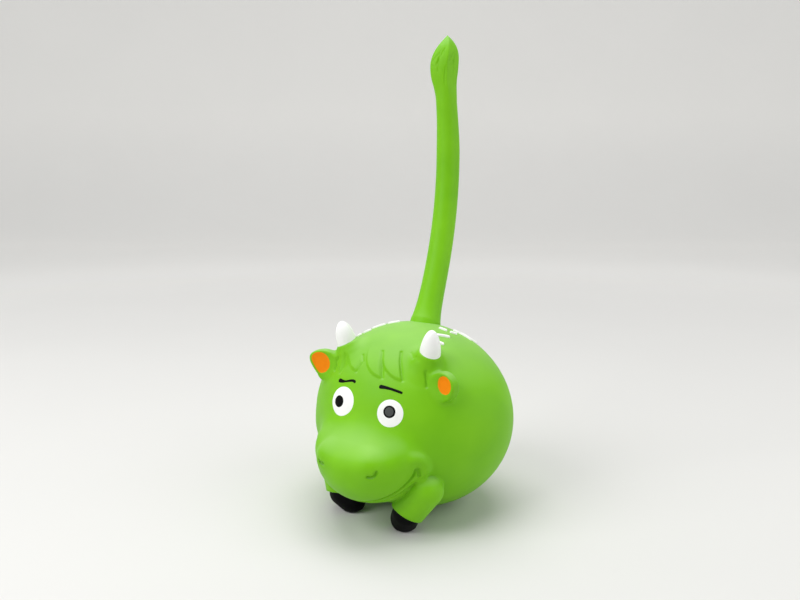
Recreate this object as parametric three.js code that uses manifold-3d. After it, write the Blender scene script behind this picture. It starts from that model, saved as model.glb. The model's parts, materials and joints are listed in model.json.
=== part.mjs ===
// Squeaky dog toy: a ball-shaped bull calf of dipped latex, with a squeaker in its base and a long tail.
// Millimetres, +Z up. The toy faces -Y and its left side is +X. The origin is on the floor under it.

import * as THREE from 'three';
import { mergeVertices } from 'three/addons/utils/BufferGeometryUtils.js';
import Module from 'manifold-3d';

const wasm = await Module();
wasm.setup();

// Clearance that pieces keep where they meet, and the thickness of a coat of paint
const SEAT_GAP = 0.3;
const PAINT_FILM = 0.5;

// Ball body: an ellipsoid of latex skin, cut flat under its base
const BODY_WIDTH = 107;
const BODY_DEPTH = 94;
const BODY_HEIGHT = 94;
const BASE_CUT = 2;
const SKIN_WALL = 2.2;

// Muzzle: a smaller ellipsoid that swells out of the front, flatter above its widest line than below
const MUZZLE_WIDTH = 56.8;
const MUZZLE_DEPTH = 56.8;
const MUZZLE_RISE = 14;
const MUZZLE_DROP = 22.8;
const MUZZLE_LEVEL = 36;
const MUZZLE_PROUD = 17.3;

// Mouth crease and nostrils, by angles round the muzzle's middle
const MOUTH_TURN = 77;
const MOUTH_DROP = 50;
const MOUTH_CURL = 1.3;
const MOUTH_CREASE = 1.6;
const NOSTRIL_TURN = 32;
const NOSTRIL_RISE = 1;
const NOSTRIL_WIDTH = 3.4;
const NOSTRIL_BUMP_RISE = 20;
const NOSTRIL_BUMP_WIDTH = 7.5;
const NOSTRIL_BUMP_PROUD = 1.2;

// Painted eyes and brows, by angles round the body's middle
const EYE_TURN = 15.6;
const EYE_RISE = 17.4;
const EYE_DIAMETER = 13;
const PUPIL_DIAMETER = 5.6;
const LEFT_GAZE = -0.6;
const RIGHT_GAZE = -2;
const BROW_RISE = 29.8;
const BROW_LENGTH = 12;
const BROW_THICKNESS = 1.5;
const BROW_TILT = 8;

// Fringe of pointed hair locks on the forehead
const FRINGE_LOCKS = 5;
const LOCK_WIDTH = 11;
const LOCK_LENGTH = 5.5;
const LOCK_LEAN = 0.72;
const LOCK_FULLNESS = 0.8;
const FRINGE_LEVEL = 78.5;
const FRINGE_TOP = 90;
const FRINGE_PROUD = 2;

// Horns: short bowed cones, each on a green collar of the skin
const HORN_TURN = 41.2;
const HORN_RISE = 46.8;
const HORN_LEAN_OUT = 10.2;
const HORN_LEAN_FORWARD = 11.3;
const HORN_BASE = 10.4;
const HORN_TIP = 5;
const HORN_LENGTH = 12.6;
const HORN_BOW = 0.6;
const COLLAR_HEIGHT = 4.2;
const COLLAR_TOP = 11.6;
const COLLAR_FOOT = 17;

// Ears: cupped lobes at the sides of the head, with a painted hollow
const EAR_TURN = 44.9;
const EAR_RISE = 31.7;
const EAR_PROUD = 6;
const EAR_WIDTH = 17;
const EAR_HEIGHT = 15;
const EAR_THICKNESS = 4.6;
const EAR_ROUNDING = 1.3;
const EAR_TOE_IN = 15;
const EAR_ROOT = 15;
const EAR_HOLLOW_WIDTH = 9.6;
const EAR_HOLLOW_HEIGHT = 9.4;

// Front legs and hooves, tucked under the muzzle
const LEG_TURN = 36.8;
const LEG_RISE = -27.1;
const LEG_PROUD = 1;
const LEG_DIAMETER = 15.2;
const CUFF_FLARE = 0.4;
const CUFF_TILT_DOWN = 0.8;
const CUFF_TILT_FORWARD = 0.6;
const HOOF_SPREAD = 33;
const HOOF_SETBACK = 13;
const HOOF_LIFT = 5.2;
const HOOF_DIAMETER = 13.2;
const HOOF_LENGTH = 3.4;

// Tail: a tube that sweeps back on a parabola, narrows to a neck and ends in a tuft
const TAIL_SETBACK = 11.5;
const TAIL_SWEEP = 24.4;
const TAIL_SWEEP_HEIGHT = 88;
const TAIL_DIAMETER = 13.6;
const TAIL_FLARE = 1.6;
const TAIL_FLARE_HEIGHT = 6;
const TAIL_WALL = 2.3;
const NECK_HEIGHT = 120;
const NECK_DIAMETER = 11.2;
const TUFT_DIAMETER = 15.2;
const TUFT_LENGTH = 30;
const TUFT_LEAN = 4.3;
const TUFT_WAIST = 0.57;
const TUFT_POINT = 1.6;
const TUFT_GROOVES = 6;
const TUFT_GROOVE_DEPTH = 0.7;
const TUFT_SPIGOT = 5;

// Where the tail bends: a nod near its root and a sway half way up, each by this many degrees
const NOD_HEIGHT = 17;
const SWAY_HEIGHT = 66;
const BEND_LIMIT = 45;

// Squeaker: a flanged plastic cup in a latex socket, with a reed inside
const SQUEAKER_DIAMETER = 16;
const SQUEAKER_HEIGHT = 13;
const SQUEAKER_WALL = 1.3;
const FLANGE_DIAMETER = 19;
const FLANGE_THICKNESS = 1.2;
const FLANGE_RECESS = 0.6;
const SOUND_HOLE = 3.6;
const SOCKET_WALL = 2.6;
const SOCKET_HEIGHT = 9;
const CAP_THICKNESS = 1.2;
const CAP_SPIGOT = 1.5;
const CAP_VENTS = 6;
const VENT_DIAMETER = 1.8;
const CARRIER_HEIGHT = 3.5;
const REED_LENGTH = 7;
const REED_WIDTH = 3;
const REED_THICKNESS = 0.3;
const SLOT_WIDTH = 2.2;
const SLOT_LAND = 0.8;
const CLAMP_WIDTH = 5;
const CLAMP_LENGTH = 2.2;
const CLAMP_HEIGHT = 2;

// Facets
const BODY_SIDES = 40;
const BODY_ROWS = 20;
const INNER_SIDES = 28;
const INNER_ROWS = 14;
const ROUND_SIDES = 24;
const SMALL_SIDES = 12;
const SMALL_ROWS = 8;
const TAIL_SIDES = 16;
const TAIL_RINGS = 12;
const BALL_ROWS = 10;
const SHORT_RINGS = 6;
const MOUTH_STEPS = 24;
const MOUTH_SIDES = 6;
const CURVE_STEPS = 5;
const BEVEL_STEPS = 2;

// Blocks that cut at a plane are larger than the whole toy, and round ends stop at a tiny flat
const CUT_BLOCK = 600;
const BLUNT_END = 0.002;

const latex = new THREE.MeshStandardMaterial({ color: 0x79c61c, roughness: 0.5, metalness: 0 });
const whitePaint = new THREE.MeshStandardMaterial({ color: 0xf3f2f1, roughness: 0.45, metalness: 0 });
const blackPaint = new THREE.MeshStandardMaterial({ color: 0x0b0b0c, roughness: 0.4, metalness: 0 });
const orangePaint = new THREE.MeshStandardMaterial({ color: 0xff8a00, roughness: 0.5, metalness: 0 });
const fibre = new THREE.MeshStandardMaterial({ color: 0xe9e7e2, roughness: 0.95, metalness: 0 });
const whitePlastic = new THREE.MeshStandardMaterial({ color: 0xefefec, roughness: 0.35, metalness: 0 });
const reedBrass = new THREE.MeshStandardMaterial({ color: 0xc9a24a, roughness: 0.3, metalness: 1 });

const bodyRadii = new THREE.Vector3(BODY_WIDTH, BODY_DEPTH, BODY_HEIGHT + BASE_CUT).divideScalar(2);
const bodyMiddle = new THREE.Vector3(0, 0, BODY_HEIGHT - bodyRadii.z);
const muzzleTopRadii = new THREE.Vector3(MUZZLE_WIDTH / 2, MUZZLE_DEPTH / 2, MUZZLE_RISE);
const muzzleChinRadii = new THREE.Vector3(MUZZLE_WIDTH / 2, MUZZLE_DEPTH / 2, MUZZLE_DROP);
const muzzleFront = bodyRadii.y + MUZZLE_PROUD;
const muzzleMiddle = new THREE.Vector3(0, MUZZLE_DEPTH / 2 - muzzleFront, MUZZLE_LEVEL);
const up = new THREE.Vector3(0, 0, 1);
const left = new THREE.Vector3(1, 0, 0);

const toy = new THREE.Group();
toy.position.y = (muzzleFront - bodyRadii.y) / 2;

// Solids from geometry

function solidOf(geometry) {
  const bare = new THREE.BufferGeometry();
  bare.setAttribute('position', geometry.getAttribute('position'));
  bare.setIndex(geometry.getIndex());
  const merged = mergeVertices(bare);
  const index = merged.getIndex().array;
  const kept = [];
  for (let i = 0; i < index.length; i += 3) {
    const [a, b, c] = [index[i], index[i + 1], index[i + 2]];
    if (a !== b && b !== c && c !== a) kept.push(a, b, c);
  }
  const mesh = new wasm.Mesh({
    numProp: 3,
    vertProperties: new Float32Array(merged.getAttribute('position').array),
    triVerts: new Uint32Array(kept),
  });
  return new wasm.Manifold(mesh);
}

function addPiece(name, solid, material) {
  const { vertProperties, triVerts } = solid.getMesh();
  const geometry = new THREE.BufferGeometry();
  geometry.setAttribute('position', new THREE.BufferAttribute(new Float32Array(vertProperties), 3));
  geometry.setIndex(new THREE.BufferAttribute(new Uint32Array(triVerts), 1));
  geometry.computeVertexNormals();
  const piece = new THREE.Mesh(geometry, material);
  piece.name = name;
  toy.add(piece);
}

// Shapes that several pieces share

function ellipsoid(middle, radii, sides, rows, lowRadii = radii) {
  const geometry = new THREE.SphereGeometry(1, sides, rows);
  geometry.rotateX(Math.PI / 2);
  const points = geometry.getAttribute('position');
  for (let i = 0; i < points.count; i += 1) {
    const point = new THREE.Vector3().fromBufferAttribute(points, i);
    point.multiply(point.z > 0 ? radii : lowRadii).add(middle);
    points.setXYZ(i, point.x, point.y, point.z);
  }
  return solidOf(geometry);
}

function ball(middle, radius, sides = TAIL_SIDES, rows = BALL_ROWS) {
  return ellipsoid(middle, new THREE.Vector3(radius, radius, radius), sides, rows);
}

function bodyForm(growth, sides = BODY_SIDES, rows = BODY_ROWS) {
  return ellipsoid(bodyMiddle, bodyRadii.clone().addScalar(growth), sides, rows);
}

function muzzleForm(growth, sides = BODY_SIDES, rows = BODY_ROWS) {
  const chin = muzzleChinRadii.clone().addScalar(growth);
  return ellipsoid(muzzleMiddle, muzzleTopRadii.clone().addScalar(growth), sides, rows, chin);
}

// The room inside the skin of the body and of the muzzle, less a clearance
function bodyRoom(clearance) {
  const form = bodyForm(-SKIN_WALL - clearance, INNER_SIDES, INNER_ROWS);
  return form.subtract(below(SKIN_WALL + clearance));
}

function muzzleRoom(clearance) {
  return muzzleForm(-SKIN_WALL - clearance, INNER_SIDES, INNER_ROWS);
}

// A block that fills everything above a point, along a direction
function above(point, direction = up) {
  const geometry = new THREE.BoxGeometry(CUT_BLOCK, CUT_BLOCK, CUT_BLOCK);
  geometry.translate(0, 0, CUT_BLOCK / 2);
  geometry.applyQuaternion(new THREE.Quaternion().setFromUnitVectors(up, direction));
  geometry.translate(point.x, point.y, point.z);
  return solidOf(geometry);
}

function below(height) {
  return above(new THREE.Vector3(0, 0, height), up.clone().negate());
}

// An upright cylinder on the squeaker's axis
function drum(radius, low, high, sides = ROUND_SIDES) {
  const geometry = new THREE.CylinderGeometry(radius, radius, high - low, sides);
  geometry.rotateX(Math.PI / 2);
  geometry.translate(0, 0, (low + high) / 2);
  return solidOf(geometry);
}

function block(width, depth, height, middle) {
  const geometry = new THREE.BoxGeometry(width, depth, height);
  geometry.translate(middle.x, middle.y, middle.z);
  return solidOf(geometry);
}

// An outline in the plane of two directions, pushed through a point both ways along their normal
function pushedOutline(shape, point, across, upward, reach, bevel = 0) {
  const geometry = new THREE.ExtrudeGeometry(shape, {
    depth: reach - 2 * bevel,
    bevelEnabled: bevel > 0,
    bevelThickness: bevel,
    bevelSize: bevel,
    bevelOffset: -bevel,
    bevelSegments: BEVEL_STEPS,
    curveSegments: CURVE_STEPS,
  });
  geometry.translate(0, 0, bevel - reach / 2);
  const facing = across.clone().cross(upward);
  geometry.applyMatrix4(new THREE.Matrix4().makeBasis(across, upward, facing).setPosition(point));
  return solidOf(geometry);
}

// A round solid along a path; ripple scales the radius round the section
function loft(pathAt, radiusAt, rings, sides, sideways = left, ripple = () => 1) {
  const step = 0.001;
  const points = [];
  for (let i = 0; i <= rings; i += 1) {
    const t = i / rings;
    const tangent = pathAt(t + step).sub(pathAt(t - step)).normalize();
    const outward = sideways.clone().addScaledVector(tangent, -sideways.dot(tangent)).normalize();
    const forward = tangent.clone().cross(outward);
    for (let k = 0; k < sides; k += 1) {
      const angle = (2 * Math.PI * k) / sides;
      const radius = radiusAt(t) * ripple(angle, t);
      const point = pathAt(t).addScaledVector(outward, radius * Math.cos(angle));
      points.push(point.addScaledVector(forward, radius * Math.sin(angle)));
    }
  }
  const start = points.push(pathAt(0)) - 1;
  const finish = points.push(pathAt(1)) - 1;
  const index = [];
  for (let k = 0; k < sides; k += 1) {
    const next = (k + 1) % sides;
    index.push(start, next, k);
    index.push(finish, rings * sides + k, rings * sides + next);
    for (let i = 0; i < rings; i += 1) {
      const [a, b] = [i * sides + k, i * sides + next];
      index.push(a, b, b + sides, a, b + sides, a + sides);
    }
  }
  const geometry = new THREE.BufferGeometry().setFromPoints(points);
  geometry.setIndex(index);
  return solidOf(geometry);
}

// A point on an ellipsoid and the way it faces; turn goes from the front to the toy's left
function surfaceAt(middle, radii, turn, rise) {
  const [yaw, lift] = [THREE.MathUtils.degToRad(turn), THREE.MathUtils.degToRad(rise)];
  const unit = new THREE.Vector3(
    Math.cos(lift) * Math.sin(yaw),
    -Math.cos(lift) * Math.cos(yaw),
    Math.sin(lift),
  );
  const point = unit.clone().multiply(radii).add(middle);
  const facing = unit.divide(radii).normalize();
  const across = up.clone().cross(facing).normalize();
  const upward = facing.clone().cross(across);
  return { point, facing, across, upward };
}

function onBody(turn, rise) {
  return surfaceAt(bodyMiddle, bodyRadii, turn, rise);
}

function onMuzzle(turn, rise) {
  return surfaceAt(muzzleMiddle, rise > 0 ? muzzleTopRadii : muzzleChinRadii, turn, rise);
}

function ovalShape(width, height) {
  return new THREE.Shape().absellipse(0, 0, width / 2, height / 2, 0, 2 * Math.PI);
}

// A coat of paint on the body, inside an outline; the second coat lies on the first
function paintOnBody(coat, outline) {
  const inner = SEAT_GAP + coat * (PAINT_FILM + SEAT_GAP);
  return bodyForm(inner + PAINT_FILM).subtract(bodyForm(inner)).intersect(outline);
}

const sides = [
  { name: 'left', sign: 1, gaze: LEFT_GAZE },
  { name: 'right', sign: -1, gaze: RIGHT_GAZE },
];

// A prism through the body at an eye, for its paint and for the room that its neighbours leave it
function eyeForm(sign, width, gaze = 0) {
  const eye = onBody(sign * EYE_TURN, EYE_RISE);
  const middle = eye.point.addScaledVector(eye.across, gaze);
  return pushedOutline(ovalShape(width, width), middle, eye.across, eye.upward, EYE_DIAMETER);
}

// Squeaker levels, from the floor up
const cupRadius = SQUEAKER_DIAMETER / 2;
const cupFloor = FLANGE_RECESS + FLANGE_THICKNESS;
const cupTop = FLANGE_RECESS + SQUEAKER_HEIGHT;
const capBottom = cupTop + SEAT_GAP;
const capTop = capBottom + CAP_THICKNESS;
const socketBore = cupRadius + SEAT_GAP;
const socketRadius = socketBore + SOCKET_WALL;
const carrierRadius = cupRadius - SQUEAKER_WALL - SEAT_GAP;
const carrierBottom = cupFloor + SEAT_GAP;
const carrierTop = carrierBottom + CARRIER_HEIGHT;
const reedRoot = -(REED_LENGTH - CLAMP_LENGTH) / 2;

// Latex skin of the body, with the socket that grips the squeaker
function bodySkin() {
  const socket = drum(socketRadius, 0, SKIN_WALL + SOCKET_HEIGHT);
  const inside = bodyRoom(0).subtract(socket);
  const bore = drum(socketBore, -BASE_CUT, capTop + SEAT_GAP);
  const recess = drum(FLANGE_DIAMETER / 2 + SEAT_GAP, -BASE_CUT, cupFloor + SEAT_GAP);
  let skin = bodyForm(0);
  for (const { sign } of sides) skin = skin.add(hornCollar(sign, 0));
  return skin.subtract(below(0)).subtract(inside).subtract(bore).subtract(recess);
}

// Fibre stuffing of the body, cut round the socket and the squeaker
function bodyFilling() {
  const well = drum(socketRadius + SEAT_GAP, 0, Math.max(SKIN_WALL + SOCKET_HEIGHT, capTop) + SEAT_GAP);
  return bodyRoom(SEAT_GAP).subtract(well);
}

function mouthCrease() {
  const points = [];
  for (let i = 0; i <= MOUTH_STEPS; i += 1) {
    const swing = Math.PI * (i / MOUTH_STEPS - 0.5);
    const drop = MOUTH_DROP * Math.abs(Math.cos(swing)) ** MOUTH_CURL;
    points.push(onMuzzle(MOUTH_TURN * Math.sin(swing), -drop).point);
  }
  const route = new THREE.CatmullRomCurve3(points);
  const pathAt = (t) => route.getPoint(THREE.MathUtils.clamp(t, 0, 1));
  return loft(pathAt, () => MOUTH_CREASE / 2, MOUTH_STEPS, MOUTH_SIDES, up);
}

// Latex skin of the muzzle, open towards the body, with its mouth crease and nostrils
function muzzleSkin() {
  let skin = muzzleForm(0);
  for (const { sign } of sides) {
    const bump = onMuzzle(sign * NOSTRIL_TURN, NOSTRIL_BUMP_RISE);
    const sunk = bump.point.addScaledVector(bump.facing, NOSTRIL_BUMP_PROUD - NOSTRIL_BUMP_WIDTH / 2);
    skin = skin.add(ball(sunk, NOSTRIL_BUMP_WIDTH / 2, SMALL_SIDES, SMALL_ROWS));
  }
  skin = skin.subtract(muzzleRoom(0)).subtract(bodyForm(SEAT_GAP)).subtract(mouthCrease());
  for (const { sign } of sides) {
    const nostril = onMuzzle(sign * NOSTRIL_TURN, NOSTRIL_RISE).point;
    skin = skin.subtract(ball(nostril, NOSTRIL_WIDTH / 2, SMALL_SIDES, SMALL_ROWS));
    skin = skin.subtract(eyeForm(sign, EYE_DIAMETER + 2 * SEAT_GAP));
  }
  return skin;
}

function muzzleFilling() {
  return muzzleRoom(SEAT_GAP).subtract(bodyForm(SEAT_GAP));
}

// The place of a horn on the body and the way it grows
function hornLine(sign) {
  const { point } = onBody(sign * HORN_TURN, HORN_RISE);
  const splay = Math.tan(THREE.MathUtils.degToRad(HORN_LEAN_OUT));
  const lean = Math.tan(THREE.MathUtils.degToRad(HORN_LEAN_FORWARD));
  const along = new THREE.Vector3(sign * splay, -lean, 1).normalize();
  return { point, along, collar: point.clone().addScaledVector(along, COLLAR_HEIGHT) };
}

// The green collar under a horn: a cone that spreads into the body
function hornCollar(sign, growth) {
  const { point, along, collar } = hornLine(sign);
  const spread = (COLLAR_FOOT - COLLAR_TOP) / 2 / COLLAR_HEIGHT;
  const root = point.clone().addScaledVector(along, -COLLAR_FOOT / 2);
  const top = collar.addScaledVector(along, growth);
  const drop = root.distanceTo(top);
  const pathAt = (t) => root.clone().lerp(top, t);
  const radiusAt = (t) => COLLAR_TOP / 2 + growth + spread * Math.min(drop * (1 - t), COLLAR_HEIGHT);
  return loft(pathAt, radiusAt, SHORT_RINGS, TAIL_SIDES);
}

// A horn, bowed outwards and cut to sit on its collar
function horn(sign) {
  const { along, collar } = hornLine(sign);
  const tip = collar.clone().addScaledVector(along, HORN_LENGTH);
  const root = collar.addScaledVector(along, -HORN_BASE / 4);
  const bow = root.clone().lerp(tip, 0.5).add(new THREE.Vector3(sign * HORN_BOW, 0, 0));
  const route = new THREE.CatmullRomCurve3([root, bow, tip]);
  const roundTip = HORN_TIP / 2 / HORN_LENGTH;
  const pathAt = (t) => route.getPoint(THREE.MathUtils.clamp(t, 0, 1));
  const radiusAt = (t) => {
    const taper = THREE.MathUtils.lerp(HORN_BASE, HORN_TIP, t) / 2;
    const past = Math.max(0, (t - 1 + roundTip) / roundTip);
    return taper * Math.sqrt(Math.max(BLUNT_END, 1 - past * past));
  };
  return loft(pathAt, radiusAt, 2 * SHORT_RINGS, TAIL_SIDES).subtract(hornCollar(sign, SEAT_GAP));
}

// Raised hair over the forehead: the body's own form, moved forward, inside an outline of pointed locks
function fringe() {
  const outline = new THREE.Shape();
  const half = (FRINGE_LOCKS * LOCK_WIDTH) / 2;
  outline.moveTo(-half, FRINGE_LEVEL);
  for (let i = 0; i < FRINGE_LOCKS; i += 1) {
    const start = i * LOCK_WIDTH - half;
    const tip = start + LOCK_WIDTH * LOCK_LEAN;
    const belly = start + LOCK_WIDTH * (1 - LOCK_FULLNESS);
    const bellyLevel = FRINGE_LEVEL - LOCK_LENGTH * LOCK_FULLNESS;
    outline.quadraticCurveTo(belly, bellyLevel, tip, FRINGE_LEVEL - LOCK_LENGTH);
    outline.lineTo(start + LOCK_WIDTH, FRINGE_LEVEL);
  }
  outline.quadraticCurveTo(half, FRINGE_TOP, 0, FRINGE_TOP);
  outline.quadraticCurveTo(-half, FRINGE_TOP, -half, FRINGE_LEVEL);
  const ahead = new THREE.Vector3(0, -bodyRadii.y, 0);
  const cutter = pushedOutline(outline, ahead, left, up, BODY_DEPTH);
  const moved = bodyMiddle.clone().add(new THREE.Vector3(0, -FRINGE_PROUD, 0));
  const raised = ellipsoid(moved, bodyRadii, BODY_SIDES, BODY_ROWS);
  let hair = raised.subtract(bodyForm(SEAT_GAP)).intersect(cutter);
  for (const { sign } of sides) {
    hair = hair.subtract(hornCollar(sign, SEAT_GAP)).subtract(earRoot(sign, SEAT_GAP));
  }
  return hair;
}

// The frame of an ear: its middle, its outward and upward directions and the way it faces
function earFrame(sign) {
  const seat = onBody(sign * EAR_TURN, EAR_RISE);
  const point = seat.point.addScaledVector(seat.facing, EAR_PROUD);
  const toe = THREE.MathUtils.degToRad(sign * EAR_TOE_IN);
  const across = left.clone().applyAxisAngle(up, -toe);
  return { point, across, upward: up.clone(), facing: across.clone().cross(up), root: seat.point };
}

// The lobe's outline, in shares of its half width and half height: a straight root and a round free edge
function earOutline(sign) {
  const [w, h] = [sign * EAR_WIDTH / 2, EAR_HEIGHT / 2];
  const outline = new THREE.Shape();
  outline.moveTo(-w, h * 0.9);
  outline.bezierCurveTo(w * 0.1, h * 1.1, w * 0.9, h * 0.8, w * 0.85, h * 0.2);
  outline.bezierCurveTo(w * 0.75, -h * 0.5, w * 0.2, -h, -w * 0.2, -h);
  outline.bezierCurveTo(-w * 0.6, -h, -w, -h * 0.4, -w, h * 0.9);
  return outline;
}

// The swelling that joins an ear to the head, behind the lobe
function earRoot(sign, growth) {
  const { point, across, facing } = earFrame(sign);
  const behind = point.addScaledVector(facing, -EAR_THICKNESS);
  behind.addScaledVector(across, -sign * EAR_WIDTH / 4);
  const radii = new THREE.Vector3(EAR_ROOT, EAR_ROOT, EAR_HEIGHT).divideScalar(2).addScalar(growth);
  return ellipsoid(behind, radii, SMALL_SIDES, SMALL_ROWS);
}

function ear(sign) {
  const { point, across, upward, facing } = earFrame(sign);
  const middle = point.clone().addScaledVector(facing, -EAR_THICKNESS / 2);
  const lobe = pushedOutline(earOutline(sign), middle, across, upward, EAR_THICKNESS, EAR_ROUNDING);
  const clear = 2 * SEAT_GAP;
  const depth = 2 * (PAINT_FILM + SEAT_GAP);
  const mouth = ovalShape(EAR_HOLLOW_WIDTH + clear, EAR_HOLLOW_HEIGHT + clear);
  const hollow = pushedOutline(mouth, point, across, upward, depth);
  const inFront = above(point, facing);
  const whole = lobe.add(earRoot(sign, 0).subtract(inFront)).subtract(hollow);
  return whole.subtract(bodyForm(SEAT_GAP)).subtract(hornCollar(sign, SEAT_GAP));
}

function earPaint(sign) {
  const { point, across, upward, facing } = earFrame(sign);
  const middle = point.addScaledVector(facing, -PAINT_FILM / 2);
  const oval = ovalShape(EAR_HOLLOW_WIDTH, EAR_HOLLOW_HEIGHT);
  const patch = pushedOutline(oval, middle, across, upward, PAINT_FILM);
  return patch.subtract(bodyForm(SEAT_GAP));
}

// A front leg's shoulder on the body, the middle of its hoof, and the cuff between them with the way it faces
function legLine(sign) {
  const seat = onBody(sign * LEG_TURN, LEG_RISE);
  const root = seat.point.addScaledVector(seat.facing, LEG_PROUD);
  const hoof = new THREE.Vector3(sign * HOOF_SPREAD / 2, HOOF_SETBACK - bodyRadii.y, HOOF_LIFT);
  const along = hoof.clone().sub(root).normalize();
  const cuff = hoof.clone().addScaledVector(along, -HOOF_LENGTH);
  const tilt = new THREE.Vector3(0, -CUFF_TILT_FORWARD, -CUFF_TILT_DOWN);
  const facing = along.clone().add(tilt).normalize();
  return { root, hoof, along, cuff, facing };
}

function frontLeg(sign) {
  const { root, hoof: end, cuff, facing } = legLine(sign);
  const pathAt = (t) => root.clone().lerp(end, t);
  const radiusAt = (t) => LEG_DIAMETER / 2 + CUFF_FLARE * t ** 4;
  const stub = loft(pathAt, radiusAt, SHORT_RINGS, TAIL_SIDES).add(ball(root, LEG_DIAMETER / 2));
  const leg = stub.subtract(above(cuff, facing)).subtract(below(0));
  return leg.subtract(bodyForm(SEAT_GAP)).subtract(muzzleForm(SEAT_GAP));
}

function hoof(sign) {
  const { root, hoof: middle, along, cuff, facing } = legLine(sign);
  const toe = middle.clone().addScaledVector(along, HOOF_DIAMETER / 2);
  const pathAt = (t) => root.clone().lerp(toe, t);
  const roundFrom = 1 - HOOF_DIAMETER / 2 / root.distanceTo(toe);
  const radiusAt = (t) => {
    const past = Math.max(0, (t - roundFrom) / (1 - roundFrom));
    return (HOOF_DIAMETER / 2) * Math.sqrt(Math.max(BLUNT_END, 1 - past * past));
  };
  const whole = loft(pathAt, radiusAt, 2 * SHORT_RINGS, TAIL_SIDES);
  const start = cuff.clone().addScaledVector(facing, SEAT_GAP);
  return whole.intersect(above(start, facing)).subtract(below(0)).subtract(bodyForm(SEAT_GAP));
}

// Tail: its centre line from the crown up to the neck, and its radius at a height
const tailBase = bodyMiddle.z + bodyRadii.z * Math.sqrt(1 - (TAIL_SETBACK / bodyRadii.y) ** 2);

function tailPoint(height) {
  const away = height / TAIL_SWEEP_HEIGHT - 1;
  return new THREE.Vector3(0, TAIL_SETBACK + TAIL_SWEEP * (1 - away * away), tailBase + height);
}

function tailWay(height) {
  const slope = (2 * TAIL_SWEEP / TAIL_SWEEP_HEIGHT) * (1 - height / TAIL_SWEEP_HEIGHT);
  return new THREE.Vector3(0, slope, 1).normalize();
}

function tailRadius(height) {
  const taper = THREE.MathUtils.lerp(TAIL_DIAMETER, NECK_DIAMETER, height / NECK_HEIGHT) / 2;
  return taper + TAIL_FLARE * Math.exp(-Math.max(0, height) / TAIL_FLARE_HEIGHT);
}

function tailForm(growth, low, high, rings = TAIL_RINGS) {
  const heightAt = (t) => THREE.MathUtils.lerp(low, high, t);
  const pathAt = (t) => tailPoint(heightAt(t));
  return loft(pathAt, (t) => tailRadius(heightAt(t)) + growth, rings, TAIL_SIDES);
}

// A bend: the upper piece ends in a ball, and the lower one in a dish whose rim clears it at the limit
function bendAt(height) {
  const radius = tailRadius(height);
  const rim = radius * Math.tan(THREE.MathUtils.degToRad(BEND_LIMIT) / 2) + 2 * SEAT_GAP;
  return { height, middle: tailPoint(height), way: tailWay(height), radius, rim };
}

const nod = bendAt(NOD_HEIGHT);
const sway = bendAt(SWAY_HEIGHT);
const tailRoot = -TAIL_DIAMETER / 2;

function tailDish(bend, growth) {
  const rim = bend.middle.clone().addScaledVector(bend.way, -bend.rim);
  return above(rim, bend.way).add(ball(bend.middle, bend.radius + growth));
}

function tailRootPiece() {
  const foot = tailForm(0, tailRoot, NOD_HEIGHT, SHORT_RINGS);
  return foot.subtract(tailDish(nod, SEAT_GAP)).subtract(bodyForm(SEAT_GAP));
}

// A latex tube from a bend upwards, closed by its ball at the bend
function tailTube(bend, high) {
  const bore = tailForm(-TAIL_WALL, bend.height, high + TAIL_WALL);
  return tailForm(0, bend.height, high).add(ball(bend.middle, bend.radius)).subtract(bore);
}

function tailStuffing(bend, high) {
  return tailForm(-TAIL_WALL - SEAT_GAP, bend.height + SEAT_GAP, high);
}

function lowerTail() {
  return tailTube(nod, SWAY_HEIGHT).subtract(tailDish(sway, SEAT_GAP));
}

function lowerStuffing() {
  return tailStuffing(nod, SWAY_HEIGHT).subtract(tailDish(sway, 2 * SEAT_GAP));
}

function upperTail() {
  return tailTube(sway, NECK_HEIGHT);
}

function upperStuffing() {
  return tailStuffing(sway, NECK_HEIGHT - TUFT_SPIGOT - SEAT_GAP);
}

// Tuft: a grooved bud that comes to a point, with a spigot in the neck
function tuft() {
  const neck = tailPoint(NECK_HEIGHT);
  const tip = neck.clone().add(new THREE.Vector3(0, 0, TUFT_LENGTH));
  const swell = neck.clone().lerp(tip, TUFT_WAIST).add(new THREE.Vector3(0, -TUFT_LEAN, 0));
  const route = new THREE.QuadraticBezierCurve3(neck, swell, tip);
  const pathAt = (t) => route.getPoint(THREE.MathUtils.clamp(t, 0, 1));
  const radiusAt = (t) => {
    const bulge = THREE.MathUtils.smoothstep(t, 0, TUFT_WAIST);
    const past = Math.max(0, (t - TUFT_WAIST) / (1 - TUFT_WAIST));
    const width = THREE.MathUtils.lerp(NECK_DIAMETER, TUFT_DIAMETER, bulge);
    return (width / 2) * Math.sqrt(Math.max(BLUNT_END, 1 - past ** TUFT_POINT));
  };
  const groove = (angle, t) => {
    const depth = TUFT_GROOVE_DEPTH / TUFT_DIAMETER * Math.sin(Math.PI * t);
    return 1 - depth * (1 - Math.cos(TUFT_GROOVES * angle));
  };
  const bud = loft(pathAt, radiusAt, TAIL_RINGS, TUFT_GROOVES * SHORT_RINGS, left, groove);
  const way = tailWay(NECK_HEIGHT);
  const seat = neck.clone().addScaledVector(way, SEAT_GAP);
  const spigotTop = NECK_HEIGHT + 2 * TAIL_WALL;
  const spigot = tailForm(-TAIL_WALL - SEAT_GAP, NECK_HEIGHT - TUFT_SPIGOT, spigotTop, SHORT_RINGS);
  return bud.intersect(above(seat, way)).add(spigot);
}

// Squeaker pieces

function squeakerCup() {
  const flange = drum(FLANGE_DIAMETER / 2, FLANGE_RECESS, cupFloor);
  const body = drum(cupRadius, FLANGE_RECESS, cupTop).add(flange);
  const hollow = drum(cupRadius - SQUEAKER_WALL, cupFloor, cupTop + CAP_THICKNESS);
  return body.subtract(hollow).subtract(drum(SOUND_HOLE / 2, 0, cupTop, SMALL_SIDES));
}

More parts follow.
